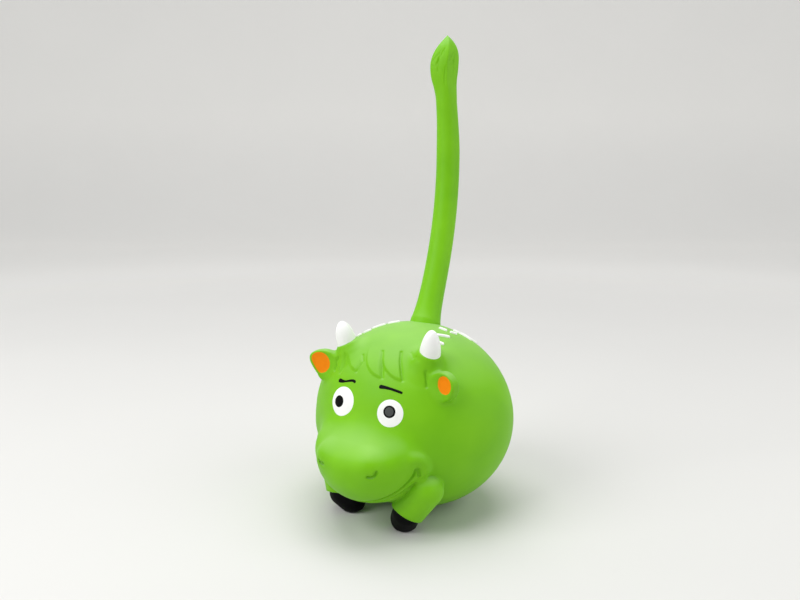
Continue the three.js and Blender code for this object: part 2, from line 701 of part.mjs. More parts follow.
function squeakerCap() {
  const spigot = drum(carrierRadius, capBottom - CAP_SPIGOT, capTop);
  const ventRadius = VENT_DIAMETER / 2;
  let cap = drum(cupRadius, capBottom, capTop).add(spigot);
  for (let i = 0; i < CAP_VENTS; i += 1) {
    const vent = new THREE.CylinderGeometry(ventRadius, ventRadius, SQUEAKER_HEIGHT, SMALL_ROWS);
    vent.rotateX(Math.PI / 2);
    vent.translate(cupRadius / 2, 0, capTop);
    vent.rotateZ((2 * Math.PI * i) / CAP_VENTS);
    cap = cap.subtract(solidOf(vent));
  }
  return cap;
}

// The carrier's slot leads air under the reed to the sound hole
function reedCarrier() {
  const slotLength = REED_LENGTH - 2 * SLOT_LAND;
  const slotMiddle = new THREE.Vector3(0, reedRoot + REED_LENGTH / 2, carrierTop);
  const slot = block(SLOT_WIDTH, slotLength, 3 * CARRIER_HEIGHT, slotMiddle);
  return drum(carrierRadius, carrierBottom, carrierTop).subtract(slot);
}

function reedClamp() {
  const behind = reedRoot - SEAT_GAP - CLAMP_LENGTH / 2;
  const level = carrierTop + SEAT_GAP + CLAMP_HEIGHT / 2;
  return block(CLAMP_WIDTH, CLAMP_LENGTH, CLAMP_HEIGHT, new THREE.Vector3(0, behind, level));
}

function reed() {
  const tongue = new THREE.Shape();
  const [half, tip] = [REED_WIDTH / 2, REED_LENGTH - REED_WIDTH / 2];
  tongue.moveTo(-half, 0);
  tongue.lineTo(half, 0);
  tongue.lineTo(half, tip);
  tongue.absarc(0, tip, half, 0, Math.PI);
  tongue.lineTo(-half, 0);
  const root = new THREE.Vector3(0, reedRoot, carrierTop + SEAT_GAP + REED_THICKNESS / 2);
  return pushedOutline(tongue, root, left, new THREE.Vector3(0, 1, 0), REED_THICKNESS);
}

addPiece('body_skin', bodySkin(), latex);
addPiece('fibre_filling', bodyFilling(), fibre);
addPiece('muzzle', muzzleSkin(), latex);
addPiece('muzzle_filling', muzzleFilling(), fibre);
addPiece('fringe', fringe(), latex);

for (const { name, sign, gaze } of sides) {
  addPiece(`eye_white_${name}`, paintOnBody(0, eyeForm(sign, EYE_DIAMETER)), whitePaint);
  addPiece(`pupil_${name}`, paintOnBody(1, eyeForm(sign, PUPIL_DIAMETER, gaze)), blackPaint);

  const brow = onBody(sign * EYE_TURN, BROW_RISE);
  const slope = THREE.MathUtils.degToRad(-sign * BROW_TILT);
  const along = brow.across.clone().applyAxisAngle(brow.facing, slope);
  const stroke = ovalShape(BROW_LENGTH, BROW_THICKNESS);
  const upward = brow.facing.clone().cross(along);
  const browForm = pushedOutline(stroke, brow.point, along, upward, EYE_DIAMETER);
  addPiece(`brow_${name}`, paintOnBody(0, browForm), blackPaint);

  addPiece(`horn_${name}`, horn(sign), whitePaint);
  addPiece(`ear_${name}`, ear(sign), latex);
  addPiece(`ear_hollow_${name}`, earPaint(sign), orangePaint);
  addPiece(`front_leg_${name}`, frontLeg(sign), latex);
  addPiece(`hoof_${name}`, hoof(sign), blackPaint);
}

addPiece('tail_root', tailRootPiece(), latex);
addPiece('tail_lower', lowerTail(), latex);
addPiece('tail_lower_filling', lowerStuffing(), fibre);
addPiece('tail_upper', upperTail(), latex);
addPiece('tail_upper_filling', upperStuffing(), fibre);
addPiece('tail_tuft', tuft(), latex);

addPiece('squeaker_cup', squeakerCup(), whitePlastic);
addPiece('squeaker_cap', squeakerCap(), whitePlastic);
addPiece('reed_carrier', reedCarrier(), whitePlastic);
addPiece('reed_clamp', reedClamp(), whitePlastic);
addPiece('squeaker_reed', reed(), reedBrass);

export default toy;
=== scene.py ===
"""Squeaky dog toy: a stuffed latex bull calf with a long tail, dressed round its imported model."""

import json
import math
from itertools import product

import bmesh
import bpy
import numpy as np
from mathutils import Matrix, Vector


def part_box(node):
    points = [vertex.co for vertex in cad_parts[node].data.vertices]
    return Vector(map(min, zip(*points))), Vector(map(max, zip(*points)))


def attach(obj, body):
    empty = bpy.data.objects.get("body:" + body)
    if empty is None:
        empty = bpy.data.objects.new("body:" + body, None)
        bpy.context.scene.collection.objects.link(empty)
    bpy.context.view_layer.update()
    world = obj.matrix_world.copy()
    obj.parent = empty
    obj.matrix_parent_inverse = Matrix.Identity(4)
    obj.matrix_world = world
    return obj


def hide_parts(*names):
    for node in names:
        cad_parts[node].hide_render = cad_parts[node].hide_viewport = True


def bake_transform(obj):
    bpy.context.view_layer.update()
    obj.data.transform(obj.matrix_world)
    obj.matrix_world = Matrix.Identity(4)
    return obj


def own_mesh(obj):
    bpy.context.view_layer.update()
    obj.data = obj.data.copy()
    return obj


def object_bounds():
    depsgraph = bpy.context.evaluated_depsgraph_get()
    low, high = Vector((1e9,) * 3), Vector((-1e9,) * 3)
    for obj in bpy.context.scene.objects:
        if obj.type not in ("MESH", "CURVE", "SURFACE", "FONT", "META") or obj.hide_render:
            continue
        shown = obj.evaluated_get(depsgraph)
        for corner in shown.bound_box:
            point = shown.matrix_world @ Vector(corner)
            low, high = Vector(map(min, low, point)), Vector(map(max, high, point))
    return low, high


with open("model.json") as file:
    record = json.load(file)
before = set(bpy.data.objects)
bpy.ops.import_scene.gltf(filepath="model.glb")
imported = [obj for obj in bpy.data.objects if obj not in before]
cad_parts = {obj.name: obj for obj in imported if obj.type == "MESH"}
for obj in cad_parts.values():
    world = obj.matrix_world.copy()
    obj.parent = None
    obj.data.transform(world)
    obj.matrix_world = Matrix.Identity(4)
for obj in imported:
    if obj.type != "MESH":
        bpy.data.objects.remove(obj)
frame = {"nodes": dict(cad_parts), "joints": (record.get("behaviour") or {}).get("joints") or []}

CAD_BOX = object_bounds()

bl_info = {
    "name": "Squeaky Dog Toy",
    "version": (1, 0, 0),
    "blender": (4, 5, 0),
    "location": "3D View > Sidebar > Dog Toy",
    "description": "Builds a painted latex bull calf toy round its packed model",
    "category": "Object",
}

MM = 0.001
SIDES = {"left": 1, "right": -1}
UP = np.array([0.0, 0.0, 1.0])
LEFT = np.array([1.0, 0.0, 0.0])

# The ball body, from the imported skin: its base is cut flat
BASE_CUT = 2 * MM
BALL_LOW, BALL_HIGH = (np.array(corner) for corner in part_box("body_skin"))
BALL_RADII = (BALL_HIGH - BALL_LOW + np.array([0, 0, BASE_CUT])) / 2
BALL_MIDDLE = (BALL_LOW + BALL_HIGH - np.array([0, 0, BASE_CUT])) / 2

# The muzzle, from the front and the underside of its packed skin
MUZZLE_LOW, MUZZLE_HIGH = (np.array(corner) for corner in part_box("muzzle"))

# Locks of the fringe: turn and rise of the tip, of the left shoulder and of the groove's top, in degrees
FRINGE_LOCKS = (
    ((-28.5, 32.8), (-41.0, 40.0), (-31.2, 43.4)),
    ((-13.3, 36.3), (-31.0, 45.0), (-16.5, 47.8)),
    ((7.9, 35.0), (-13.5, 48.5), (-0.4, 54.0)),
    ((21.8, 34.6), (8.5, 40.6), (17.0, 55.0)),
)

# Grooves between the locks and in front of the ears: a line of turns and rises in degrees, and a depth
FRINGE_GROOVES = (
    (((-31.2, 43.4), (-28.4, 37.0), (-28.5, 33.0)), 0.4 * MM),
    (((-17.1, 47.8), (-12.6, 44.0), (-13.2, 36.8)), 0.45 * MM),
    (((-0.4, 53.1), (5.1, 44.3), (7.9, 36.0)), 0.6 * MM),
    (((17.3, 54.2), (18.3, 46.8), (21.6, 35.6)), 0.55 * MM),
    (((26.4, 53.1), (28.3, 48.0)), 0.25 * MM),
    (((30.8, 48.0), (31.9, 45.5)), 0.25 * MM),
    (((36.2, 40.0), (36.8, 36.3), (36.7, 32.5)), 0.6 * MM),
    (((-36.2, 40.0), (-36.8, 36.3), (-36.7, 32.5)), 0.6 * MM),
)

# How bright the far backdrop is lit by lamps of its own, and the distances between which that grows
BACKDROP_GLOW = 0.55
GLOW_REACH = (0.2, 1.3)

# Share of talcum dust and painted overhead sheen on latex that faces straight up, and the slope it starts
# from
TALC_AND_SHEEN_SHARE = 0.15
TALC_AND_SHEEN_START = 0.5

# Rubber paints by colour: the name, roughness and gloss of each
PAINTS = {
    "white": ("white_rubber_paint", 0.42, 0.18),
    "black": ("black_rubber_paint", 0.5, 0.08),
    # Grey spot in the middle of the left pupil
    "grey": ("thin_black_paint", 0.5, 0.18),
    "orange": ("orange_rubber_paint", 0.55, 0.12),
}

# Radius of the squeaker's cup above its flange
CUP_RADIUS = 8 * MM

# Rounds of small moves that lay a line or a film closely on a field, and the step that finds its slope
CLOSE_ROUNDS = 6
SLOPE_STEP = 0.05 * MM

# A film of paint: its rings from the middle to the rim, and how deep its rim and its back lie in the skin
FILM_RINGS = np.array([0, 0.35, 0.65, 0.85, 0.95, 1])
FILM_ROUNDING = 6
FILM_RIM_SINK = 0.03 * MM
FILM_BACK_SINK = 0.4 * MM

# Points of a mesh that are nearer than this are one, and edges shorter than this go
SAME_POINT = 0.002 * MM
SHORTEST_EDGE = 0.001 * MM

# White dashes on the back: the two ends of each, as turn and rise in degrees
BACK_DASHES = (
    ((99.7, 73.7), (99.9, 70.4)),
    ((102.0, 67.2), (106.2, 64.8)),
    ((122.4, 65.6), (119.0, 55.6)),
    ((129.0, 60.5), (124.0, 51.0)),
    ((62.0, 69.0), (81.1, 64.9)),
    ((51.0, 64.5), (61.6, 60.0)),
    ((-64.2, 56.3), (-63.9, 57.6)),
    ((-62.9, 60.6), (-61.7, 64.3)),
    ((-69.4, 66.2), (-74.3, 72.4)),
    ((-78.9, 75.3), (-92.2, 80.2)),
)


def millimetres(name, description, default):
    """A length that a user can change, given in millimetres."""
    return bpy.props.FloatProperty(
        name=name, description=description, default=default * MM, min=0, unit="LENGTH", precision=5
    )


def linear(code):
    """Linear colour of an sRGB hex value."""
    shares = [int(code[i:i + 2], 16) / 255 for i in (1, 3, 5)]
    return [s / 12.92 if s <= 0.04045 else ((s + 0.055) / 1.055) ** 2.4 for s in shares]


def colour(name, description, code):
    """A colour that a user can change, given as an sRGB hex value."""
    return bpy.props.FloatVectorProperty(
        name=name, description=description, default=linear(code), subtype="COLOR", min=0, max=1
    )


def angle(name, description, default):
    """An angle that a user can change, given in degrees."""
    return bpy.props.FloatProperty(
        name=name, description=description, default=math.radians(default), subtype="ANGLE"
    )


def power(name, description, default):
    """The power of a lamp that a user can change, given in watts."""
    return bpy.props.FloatProperty(name=name, description=description, default=default, min=0, unit="POWER")


class ToySizes(bpy.types.PropertyGroup):
    """Sizes of the toy's forms and of its paint."""

    skin_step: millimetres("Skin Step", "Spacing of the points on the latex skin", 0.85)
    muzzle_depth: millimetres("Muzzle Depth", "Half depth of the muzzle", 28.4)
    muzzle_level: millimetres("Muzzle Level", "Height of the muzzle's widest line", 36)
    muzzle_rise: millimetres("Muzzle Rise", "Height of the muzzle above its widest line", 16)
    muzzle_melt: millimetres("Muzzle Melt", "Reach of the soft hollow between muzzle and ball", 9)
    mouth_width: millimetres("Mouth Width", "Width of the crease of the mouth", 1.5)
    fringe_relief: millimetres("Fringe Relief", "Height of the hair locks over the forehead", 0.75)
    ear_thickness: millimetres("Ear Thickness", "Thickness of an ear's lobe", 5)
    leg_width: millimetres("Leg Width", "Diameter of a front leg", 16.3)
    hoof_width: millimetres("Hoof Width", "Diameter of a hoof", 13.8)
    horn_width: millimetres("Horn Width", "Diameter of a horn at its collar", 10)
    pupil_width: millimetres("Pupil Width", "Height of a pupil", 5.7)
    paint_lift: millimetres("Paint Lift", "Thickness of the brushed paint", 0.22)
    dash_width: millimetres("Dash Width", "Width of a dash on the back", 1.7)
    dash_relief: millimetres("Dash Relief", "Height of the moulded ridge that a dash is painted on", 0.9)
    tail_width: millimetres("Tail Width", "Diameter of the tail above its flare", 13.1)
    neck_width: millimetres("Neck Width", "Diameter of the tail under the tuft", 11.2)
    tuft_width: millimetres("Tuft Width", "Diameter of the tuft over its ridges", 16)


class ToyColours(bpy.types.PropertyGroup):
    """Colours of the latex, the paints and the squeaker."""

    latex: colour("Latex", "Lime green of the dyed latex", "#76BF0C")
    # Talcum dust and a painted sheen of the overhead light, laid on latex that faces up
    talc_and_sheen: colour("Talc", "Dust of talc that lies on the latex", "#D8DCCB")
    white: colour("White Paint", "Horns, eyes and dashes", "#F8F8F5")
    black: colour("Black Paint", "Hooves, pupils and brows", "#050506")
    # A grey spot in the middle of the left pupil
    grey: colour("Thin Black Paint", "Middle of the left pupil", "#4A4C4B")
    orange: colour("Orange Paint", "Hollows of the ears", "#FB8A05")
    plastic: colour("Squeaker", "White plastic of the squeaker", "#EFEFEA")
    brass: colour("Reed", "Brass of the squeaker's reed", "#C9A24A")


class ToyStage(bpy.types.PropertyGroup):
    """Camera, lamps and floor round the toy."""

    floor: colour("Floor", "Pale studio floor", "#D9D8D5")
    lens: bpy.props.FloatProperty(
        name="Lens", description="Focal length of the camera", default=28.95, min=1, unit="CAMERA"
    )
    turn: angle("Turn", "Angle of the camera round the ball", 31.34)
    yaw: angle("Yaw", "Angle that the camera looks past the ball", 1.2)
    pitch: angle("Pitch", "Angle that the camera looks down", 8.94)
    distance: millimetres("Distance", "Distance of the camera from the ball's axis", 328.3)
    height: millimetres("Height", "Height of the camera", 157.5)
    top: power("Top Light", "Power of the soft light overhead", 6.6)
    key: power("Key Light", "Power of the soft light from the front", 5)
    fill: power("Fill Light", "Power of the light from the other side", 3.3)
    sky: bpy.props.FloatProperty(
        name="Sky", description="Strength of the light all round", default=0.25, min=0
    )


# Forms as fields: below zero inside, above zero outside, in metres from the surface

def oval(points, middle, radii):
    """Distance to an ellipsoid, or to an ellipse for points in a plane."""
    scaled = (points - middle) / radii
    level = np.linalg.norm(scaled, axis=1)
    slope = np.linalg.norm(scaled / radii, axis=1)
    return level * (level - 1) / np.maximum(slope, 1e-9)


def melt(first, second, reach):
    """Two forms in one, with a soft hollow of that reach between them."""
    share = np.clip(0.5 + 0.5 * (second - first) / reach, 0, 1)
    return second + (first - second) * share - reach * share * (1 - share)


def carve(form, cutter, reach):
    """A form less a cutter, with an edge rounded by that reach."""
    return -melt(-form, cutter, reach)


def rounded(first, second, radius):
    """What lies inside both fields, with its edge rounded to that radius."""
    a, b = np.maximum(first + radius, 0), np.maximum(second + radius, 0)
    return np.hypot(a, b) + np.minimum(np.maximum(first, second) + radius, 0) - radius


def smooth_step(value, start, end):
    """A soft step from 0 at start to 1 at end."""
    share = np.clip((value - start) / (end - start), 0, 1)
    return share * share * (3 - 2 * share)


def tube(points, line, radius):
    """Distance to a round tube along a line of points."""
    nearest = np.full(len(points), np.inf)
    for start, end in zip(line[:-1], line[1:]):
        way = end - start
        share = np.clip((points - start) @ way / (way @ way), 0, 1)
        nearest = np.minimum(nearest, np.linalg.norm(points - start - share[:, None] * way, axis=1))
    return nearest - radius


def filled_out(form, points, seat, radius, proud, reach):
    """A form filled out softly by a sphere that stands proud of it at a seat."""
    middle = seat[0] + seat[3] * (proud - radius)
    return melt(form, oval(points, middle, np.full(3, radius)), reach)


def unit(vector):
    """A vector of length one along this one."""
    return vector / np.linalg.norm(vector)


def on_oval(middle, radii, turn, rise):
    """Seat on an ellipsoid: point, sideways, upward and outward; turn goes from the front to the left."""
    yaw, lift = math.radians(turn), math.radians(rise)
    way = np.array([math.cos(lift) * math.sin(yaw), -math.cos(lift) * math.cos(yaw), math.sin(lift)])
    outward = unit(way / radii)
    across = unit(np.cross(UP, outward))
    return middle + way * radii, across, np.cross(outward, across), outward


def on_ball(turn, rise):
    """Seat on the ball body."""
    return on_oval(BALL_MIDDLE, BALL_RADII, turn, rise)


def angles_on_ball(points):
    """Turn and rise of points round the ball's middle, in degrees."""
    way = (points - BALL_MIDDLE) / BALL_RADII
    way = way / np.linalg.norm(way, axis=1)[:, None]
    return np.degrees(np.arctan2(way[:, 0], -way[:, 1])), np.degrees(np.arcsin(way[:, 2]))


class CalfSkin:
    """The field of the latex skin: ball, muzzle, ears, legs, horn collars, fringe and mouth in one."""

    # Seats are turn and rise in degrees; what differs by side is kept under 1 for left and -1 for right
    muzzle_inset = 0.3 * MM
    swell_seat = (49, -11)
    swell_radius = 14 * MM
    swell_proud = -1.8 * MM
    swell_melt = 6 * MM
    pad_seat = (66, 24)
    pad_radius = 7 * MM
    pad_proud = 1.2 * MM
    pad_melt = 5 * MM

    # The comma under a nostril and the hook of the mouth go out and up, in millimetres
    nostril = {1: (32.2, 1), -1: (24.5, 4)}
    comma = ((-1.4, -0.6), (-0.4, -0.9), (0.8, -0.7), (1.7, 0.1), (2.1, 1.1))
    nostril_bump = (29, 17)
    nostril_radius = 5 * MM
    nostril_proud = 0.4 * MM
    nostril_melt = 5 * MM
    nostril_crease = 0.7 * MM
    nostril_edge = 1.1 * MM
    mouth_corner = 74.5
    mouth_drop = 50
    mouth_curve = 1.3
    mouth_steps = 33
    mouth_sink = 0.35 * MM
    hook = ((0, 0), (0.2, 0.3), (0.8, 0.4), (1.4, -0.3), (1.8, -1.5), (2, -2.8))
    hook_width = 1.8 * MM
    crease_edge = 0.5 * MM
    lip = 3.4 * MM
    lip_growth = 0.5
    lip_span = (0.6, 0.85)
    lip_fade = 1.6 * MM
    lip_groove = 1.3 * MM
    lip_edge = 0.8 * MM
    cheek_seat = (48, -12)
    cheek_bow = range(-60, 91, 10)
    cheek_reach = 5.2 * MM
    cheek_sizes = (2.2 * MM, 0.8 * MM)
    cheek_fade = 1.6 * MM
    cheek_melt = 3 * MM

    ear_seat = (44.9, 31.7)
    ear_proud = 6 * MM
    ear_toe_in = 15
    ear_width = {1: 8.4 * MM, -1: 11 * MM}
    ear_height = {1: 8.8 * MM, -1: 11.2 * MM}
    ear_shift = {1: (0.5 * MM, -0.6 * MM), -1: (0.7 * MM, 0.2 * MM)}
    ear_rim = {1: (1.3 * MM, 1.3 * MM), -1: (1.9 * MM, 1 * MM)}
    ear_fullness = {1: (1, 0), -1: (0.8, 0.42)}
    ear_limits = (0.35, 1.3)
    ear_root = 3.6 * MM
    ear_lobe_drop = 1.2 * MM
    ear_hollow = 1 * MM
    ear_clear = 4 * MM
    ear_roundness = 0.25
    ear_melt = 3.5 * MM

    horn_seat = {1: (39.5, 48.2), -1: (40.6, 48.2)}
    horn_lean = (0.19, 0.17)
    collar_lean = (0.42, 0.2)
    collar_height = {1: 5.1 * MM, -1: 3.7 * MM}
    collar_foot = 13 * MM
    collar_lip = 0.5 * MM
    collar_edge = 0.8 * MM
    collar_melt = 6.5 * MM

    # Places on the legs, in millimetres from the foot of the ball's axis
    shoulder = {1: (29.2, -35.6, 23.7), -1: (-24.5, -34, 23.7)}
    hem = {1: (18.6, -36, 9.4), -1: (-21.3, -33.8, 9)}
    hoof = {1: (16.3, -34.1, 5.2), -1: (-16.6, -32, 5.2)}
    hem_lean = np.array([0, -0.6, -0.8])
    hem_edge = 0.25 * MM
    crisp_melt = 0.3 * MM
    soft_melt = 1.5 * MM
    melt_change = 3 * MM

    lock_reach = 3
    lock_step = 1.7 * MM
    lock_fade = (-14, 4)
    lock_groove = 0.55 * MM

    base_edge = 3 * MM
    socket_gap = 0.3 * MM
    socket_recess = 2.1 * MM
    socket_spare = 2 * MM
    socket_edge = 0.6 * MM

    # Where the face lies in front of the ball's middle and below its brow, and how high the base is worked
    face_front = 25 * MM
    face_top = 12 * MM
    base_top = 18 * MM
    detail_reach = 17 * MM

    def __init__(self, sizes):
        self.sizes = sizes
        depth, level = sizes.muzzle_depth, sizes.muzzle_level
        width = MUZZLE_HIGH[0] - self.muzzle_inset
        self.muzzle_middle = np.array([0, MUZZLE_LOW[1] + depth, level])
        self.muzzle_low = np.array([width, depth, level - MUZZLE_LOW[2]])
        self.muzzle_high = np.array([width, depth, sizes.muzzle_rise])
        sides = SIDES.values()
        self.mouth = settle_points(self.sunk_head, self.mouth_line(), CLOSE_ROUNDS)
        self.cheeks = [self.cheek_line(sign) for sign in sides]
        self.hooks = [settle_points(self.cheeked_head, self.hook_line(sign), CLOSE_ROUNDS) for sign in sides]
        self.under_lip = self.under_lip_line()
        self.creases = [self.nostril_line(sign) for sign in sides]

    def head(self, points):
        """Ball and muzzle; the muzzle is lower above its widest line, with a soft pad on each side."""
        ball = oval(points, BALL_MIDDLE, BALL_RADII)
        over = points[:, 2:3] > self.muzzle_middle[2]
        muzzle = oval(points, self.muzzle_middle, np.where(over, self.muzzle_high, self.muzzle_low))
        for sign in SIDES.values():
            swell = on_ball(sign * self.swell_seat[0], self.swell_seat[1])
            ball = filled_out(ball, points, swell, self.swell_radius, self.swell_proud, self.swell_melt)
            pad = on_oval(self.muzzle_middle, self.muzzle_high, sign * self.pad_seat[0], self.pad_seat[1])
            muzzle = filled_out(muzzle, points, pad, self.pad_radius, self.pad_proud, self.pad_melt)
        return melt(ball, muzzle, self.sizes.muzzle_melt)

    def sunk_head(self, points):
        """The surface just inside ball and muzzle that the mouth follows."""
        return self.head(points) + self.mouth_sink

    def cheeked(self, form, points):
        """Sets the folds of the cheeks on a form."""
        for cheek, size in zip(self.cheeks, self.cheek_sizes):
            form = melt(form, tube(points, cheek, size), self.cheek_melt)
        return form

    def cheeked_head(self, points):
        """The surface that the hooks of the mouth lie on."""
        return self.cheeked(self.head(points), points)

    def mouth_line(self):
        """The smile round the muzzle's underside, from corner to corner."""
        line = []
        for swing in np.linspace(-math.pi / 2, math.pi / 2, self.mouth_steps):
            turn = self.mouth_corner * math.sin(swing)
            rise = -self.mouth_drop * math.cos(swing) ** self.mouth_curve
            line.append(on_oval(self.muzzle_middle, self.muzzle_low, turn, rise)[0])
        return np.array(line)

    def corner_frame(self, sign):
        """A corner of the mouth, with the ways out and up along the cheek."""
        _, across, upward, _ = on_ball(sign * self.cheek_seat[0], self.cheek_seat[1])
        return self.mouth[-1 if sign > 0 else 0], sign * across, upward

    def cheek_line(self, sign):
        """The fold of the cheek, an arc round the corner of the mouth that sinks away at its ends."""
        corner, outward, upward = self.corner_frame(sign)
        bow = [math.radians(degrees) for degrees in self.cheek_bow]
        line = [corner + self.cheek_reach * (math.cos(a) * outward + math.sin(a) * upward) for a in bow]
        line = settle_points(self.head, np.array(line), CLOSE_ROUNDS)
        sink = self.cheek_fade * np.linspace(-1, 1, len(line)) ** 2
        return line - sink[:, None] * slope_of(self.head, line)

    def hook_line(self, sign):
        """The small hook at the corner of the mouth: up, out and down again inside the cheek."""
        corner, outward, upward = self.corner_frame(sign)
        return np.array([corner + (out * outward + up * upward) * MM for out, up in self.hook])

    def under_lip_line(self):
        """The hollow under the lower lip, along the mouth; its ends leave the skin, so that it fades out."""
        way = np.gradient(self.mouth, axis=0)
        below = np.cross(way, slope_of(self.head, self.mouth))
        below = below / np.linalg.norm(below, axis=1)[:, None]
        ends = np.abs(np.linspace(-1, 1, len(below)))
        lip = self.lip * (1 + self.lip_growth * ends ** 2)
        line = settle_points(self.head, self.mouth + below * lip[:, None], CLOSE_ROUNDS)
        lift = self.lip_fade * smooth_step(ends, *self.lip_span)
        return (line + lift[:, None] * slope_of(self.head, line))[ends < self.lip_span[1]]

    def nostril_line(self, sign):
        """The comma-shaped crease under a nostril's lump."""
        turn, rise = self.nostril[sign]
        seat, across, upward, _ = on_oval(self.muzzle_middle, self.muzzle_low, sign * turn, rise)
        comma = np.array([seat + (sign * out * across + up * upward) * MM for out, up in self.comma])
        return settle_points(self.head, comma, CLOSE_ROUNDS)

    def ear_frame(self, sign):
        """Middle of an ear's face, its outward and upward directions and the way it faces."""
        seat, _, _, outward = on_ball(sign * self.ear_seat[0], self.ear_seat[1])
        toe = math.radians(sign * self.ear_toe_in)
        across = np.array([math.cos(toe), -math.sin(toe), 0])
        out, above = self.ear_shift[sign]
        middle = seat + outward * self.ear_proud + sign * out * across + above * UP
        return middle, across, UP, np.cross(across, UP)

    def ear_share(self, height, sign):
        """How full the outer side of an ear is at a height: the right ear is cut slanting below."""
        middle, change = self.ear_fullness[sign]
        return np.clip(middle + change * 2 * height / self.ear_height[sign], *self.ear_limits)

    def ear_outline(self, sign):
        """Rim and middle of an ear's painted hollow."""
        rim, spine = oval_outline(self.ear_width[sign], self.ear_height[sign])
        rim[:, 0] *= np.where(sign * rim[:, 0] > 0, self.ear_share(rim[:, 1], sign), 1)
        return rim, spine

    def ear(self, form, points, sign):
        """Sets a lobe with a hollow face on a form; the lobe is wider towards the head and below."""
        sizes = self.sizes
        middle, across, upward, facing = self.ear_frame(sign)
        away = points - middle
        flat = np.stack([away @ across, away @ upward], axis=1)
        flat[:, 0] /= np.where(sign * flat[:, 0] > 0, self.ear_share(flat[:, 1], sign), 1)
        depth = away @ facing
        hollow_radii = np.array([self.ear_width[sign], self.ear_height[sign]]) / 2
        lobe_middle = -np.array([sign * self.ear_root / 2, self.ear_lobe_drop])
        lobe_radii = hollow_radii + self.ear_rim[sign] - lobe_middle * np.array([sign, 1])
        slab = np.abs(depth + sizes.ear_thickness / 2) - sizes.ear_thickness / 2
        edge = sizes.ear_thickness * self.ear_roundness
        lobe = rounded(oval(flat, lobe_middle, lobe_radii), slab, edge)
        dish = np.column_stack([flat, np.minimum(depth, 0)])
        hollow = oval(dish, np.zeros(3), np.array([*hollow_radii, self.ear_hollow]))
        hollow = np.maximum(hollow, depth - self.ear_clear)
        return carve(melt(form, lobe, self.ear_melt), hollow, self.crease_edge)

    def horn_line(self, sign):
        """Foot of a horn's collar on the ball, the way the collar faces and the way the horn grows."""
        foot = on_ball(sign * self.horn_seat[sign][0], self.horn_seat[sign][1])[0]
        collar, horn = (
            unit(np.array([sign * out, -forward, 1])) for out, forward in (self.collar_lean, self.horn_lean)
        )
        return foot, collar, horn

    def collar(self, points, sign):
        """The green cone that carries a horn."""
        foot, along, _ = self.horn_line(sign)
        tall = self.collar_height[sign]
        height = (points - foot) @ along
        away = np.linalg.norm(points - foot - height[:, None] * along, axis=1)
        top = self.sizes.horn_width / 2 + self.collar_lip
        flare = (self.collar_foot / 2 - top) / tall
        cone = away - top - flare * np.clip(tall - height, 0, tall)
        slab = np.maximum(height - tall, -height - tall)
        return rounded(cone, slab, self.collar_edge)

    def leg_line(self, sign):
        """Shoulder of a front leg, middle of its hem, the hoof's middle and the way the hem faces."""
        axis = BALL_MIDDLE * np.array([1, 1, 0])
        spots = (self.shoulder[sign], self.hem[sign], self.hoof[sign])
        shoulder, hem, hoof = (axis + np.array(spot) * MM for spot in spots)
        return shoulder, hem, hoof, unit(unit(hem - shoulder) + self.hem_lean)

    def leg(self, points, sign):
        """A stubby leg with a round shoulder that ends in a crisp hem."""
        shoulder, hem, _, facing = self.leg_line(sign)
        past_hem = hem + (hem - shoulder) / 2
        stub = tube(points, np.array([shoulder, past_hem]), self.sizes.leg_width / 2)
        return rounded(stub, (points - hem) @ facing, self.hem_edge)

    def leg_melt(self, points, sign):
        """Reach of the hollow round a leg: crisp in front, under the lip, and soft behind."""
        behind = points[:, 1] - self.leg_line(sign)[0][1]
        softness = smooth_step(behind, -self.melt_change, self.melt_change)
        return self.crisp_melt + (self.soft_melt - self.crisp_melt) * softness

    def fringe(self, points):
        """Height of the hair locks: each has a curved left edge, a tip and a groove on its right."""
        turn, rise = angles_on_ball(points)
        span = math.radians(1) * BALL_RADII[2]
        height = np.zeros(len(points))
        for (tip_turn, tip_rise), (left_turn, left_rise), (top_turn, top_rise) in FRINGE_LOCKS:
            groove = tip_turn + (top_turn - tip_turn) * (rise - tip_rise) / (top_rise - tip_rise)
            back = np.clip((tip_turn - turn) / (tip_turn - left_turn), 0, self.lock_reach)
            edge = tip_rise + (left_rise - tip_rise) * back ** 2
            inside = span * np.minimum(rise - edge, groove - turn)
            fade_start, fade_end = (top_rise + change for change in self.lock_fade)
            fade = 1 - smooth_step(rise, fade_start, fade_end)
            height = np.maximum(height, smooth_step(inside, 0, self.lock_step) * fade)
        height = height * self.sizes.fringe_relief
        flat = np.stack([turn * np.cos(np.radians(rise)), rise], axis=1) * span
        for line, depth in FRINGE_GROOVES:
            places = np.array([(t * math.cos(math.radians(r)), r) for t, r in line]) * span
            height -= depth * np.exp(-(tube(flat, places, 0) / self.lock_groove) ** 2)
        return height

    def face(self, form, points):
        """Cheeks, nostrils and mouth, worked into the muzzle."""
        turn, rise = self.nostril_bump
        for sign in SIDES.values():
            bump = on_oval(self.muzzle_middle, self.muzzle_high, sign * turn, rise)
            form = filled_out(form, points, bump, self.nostril_radius, self.nostril_proud, self.nostril_melt)
        form = self.cheeked(form, points)
        form = carve(form, tube(points, self.mouth, self.sizes.mouth_width / 2), self.crease_edge)
        for line in self.hooks:
            form = carve(form, tube(points, line, self.hook_width / 2), self.crease_edge)
        for line in self.creases:
            form = carve(form, tube(points, line, self.nostril_crease), self.nostril_edge)
        return form

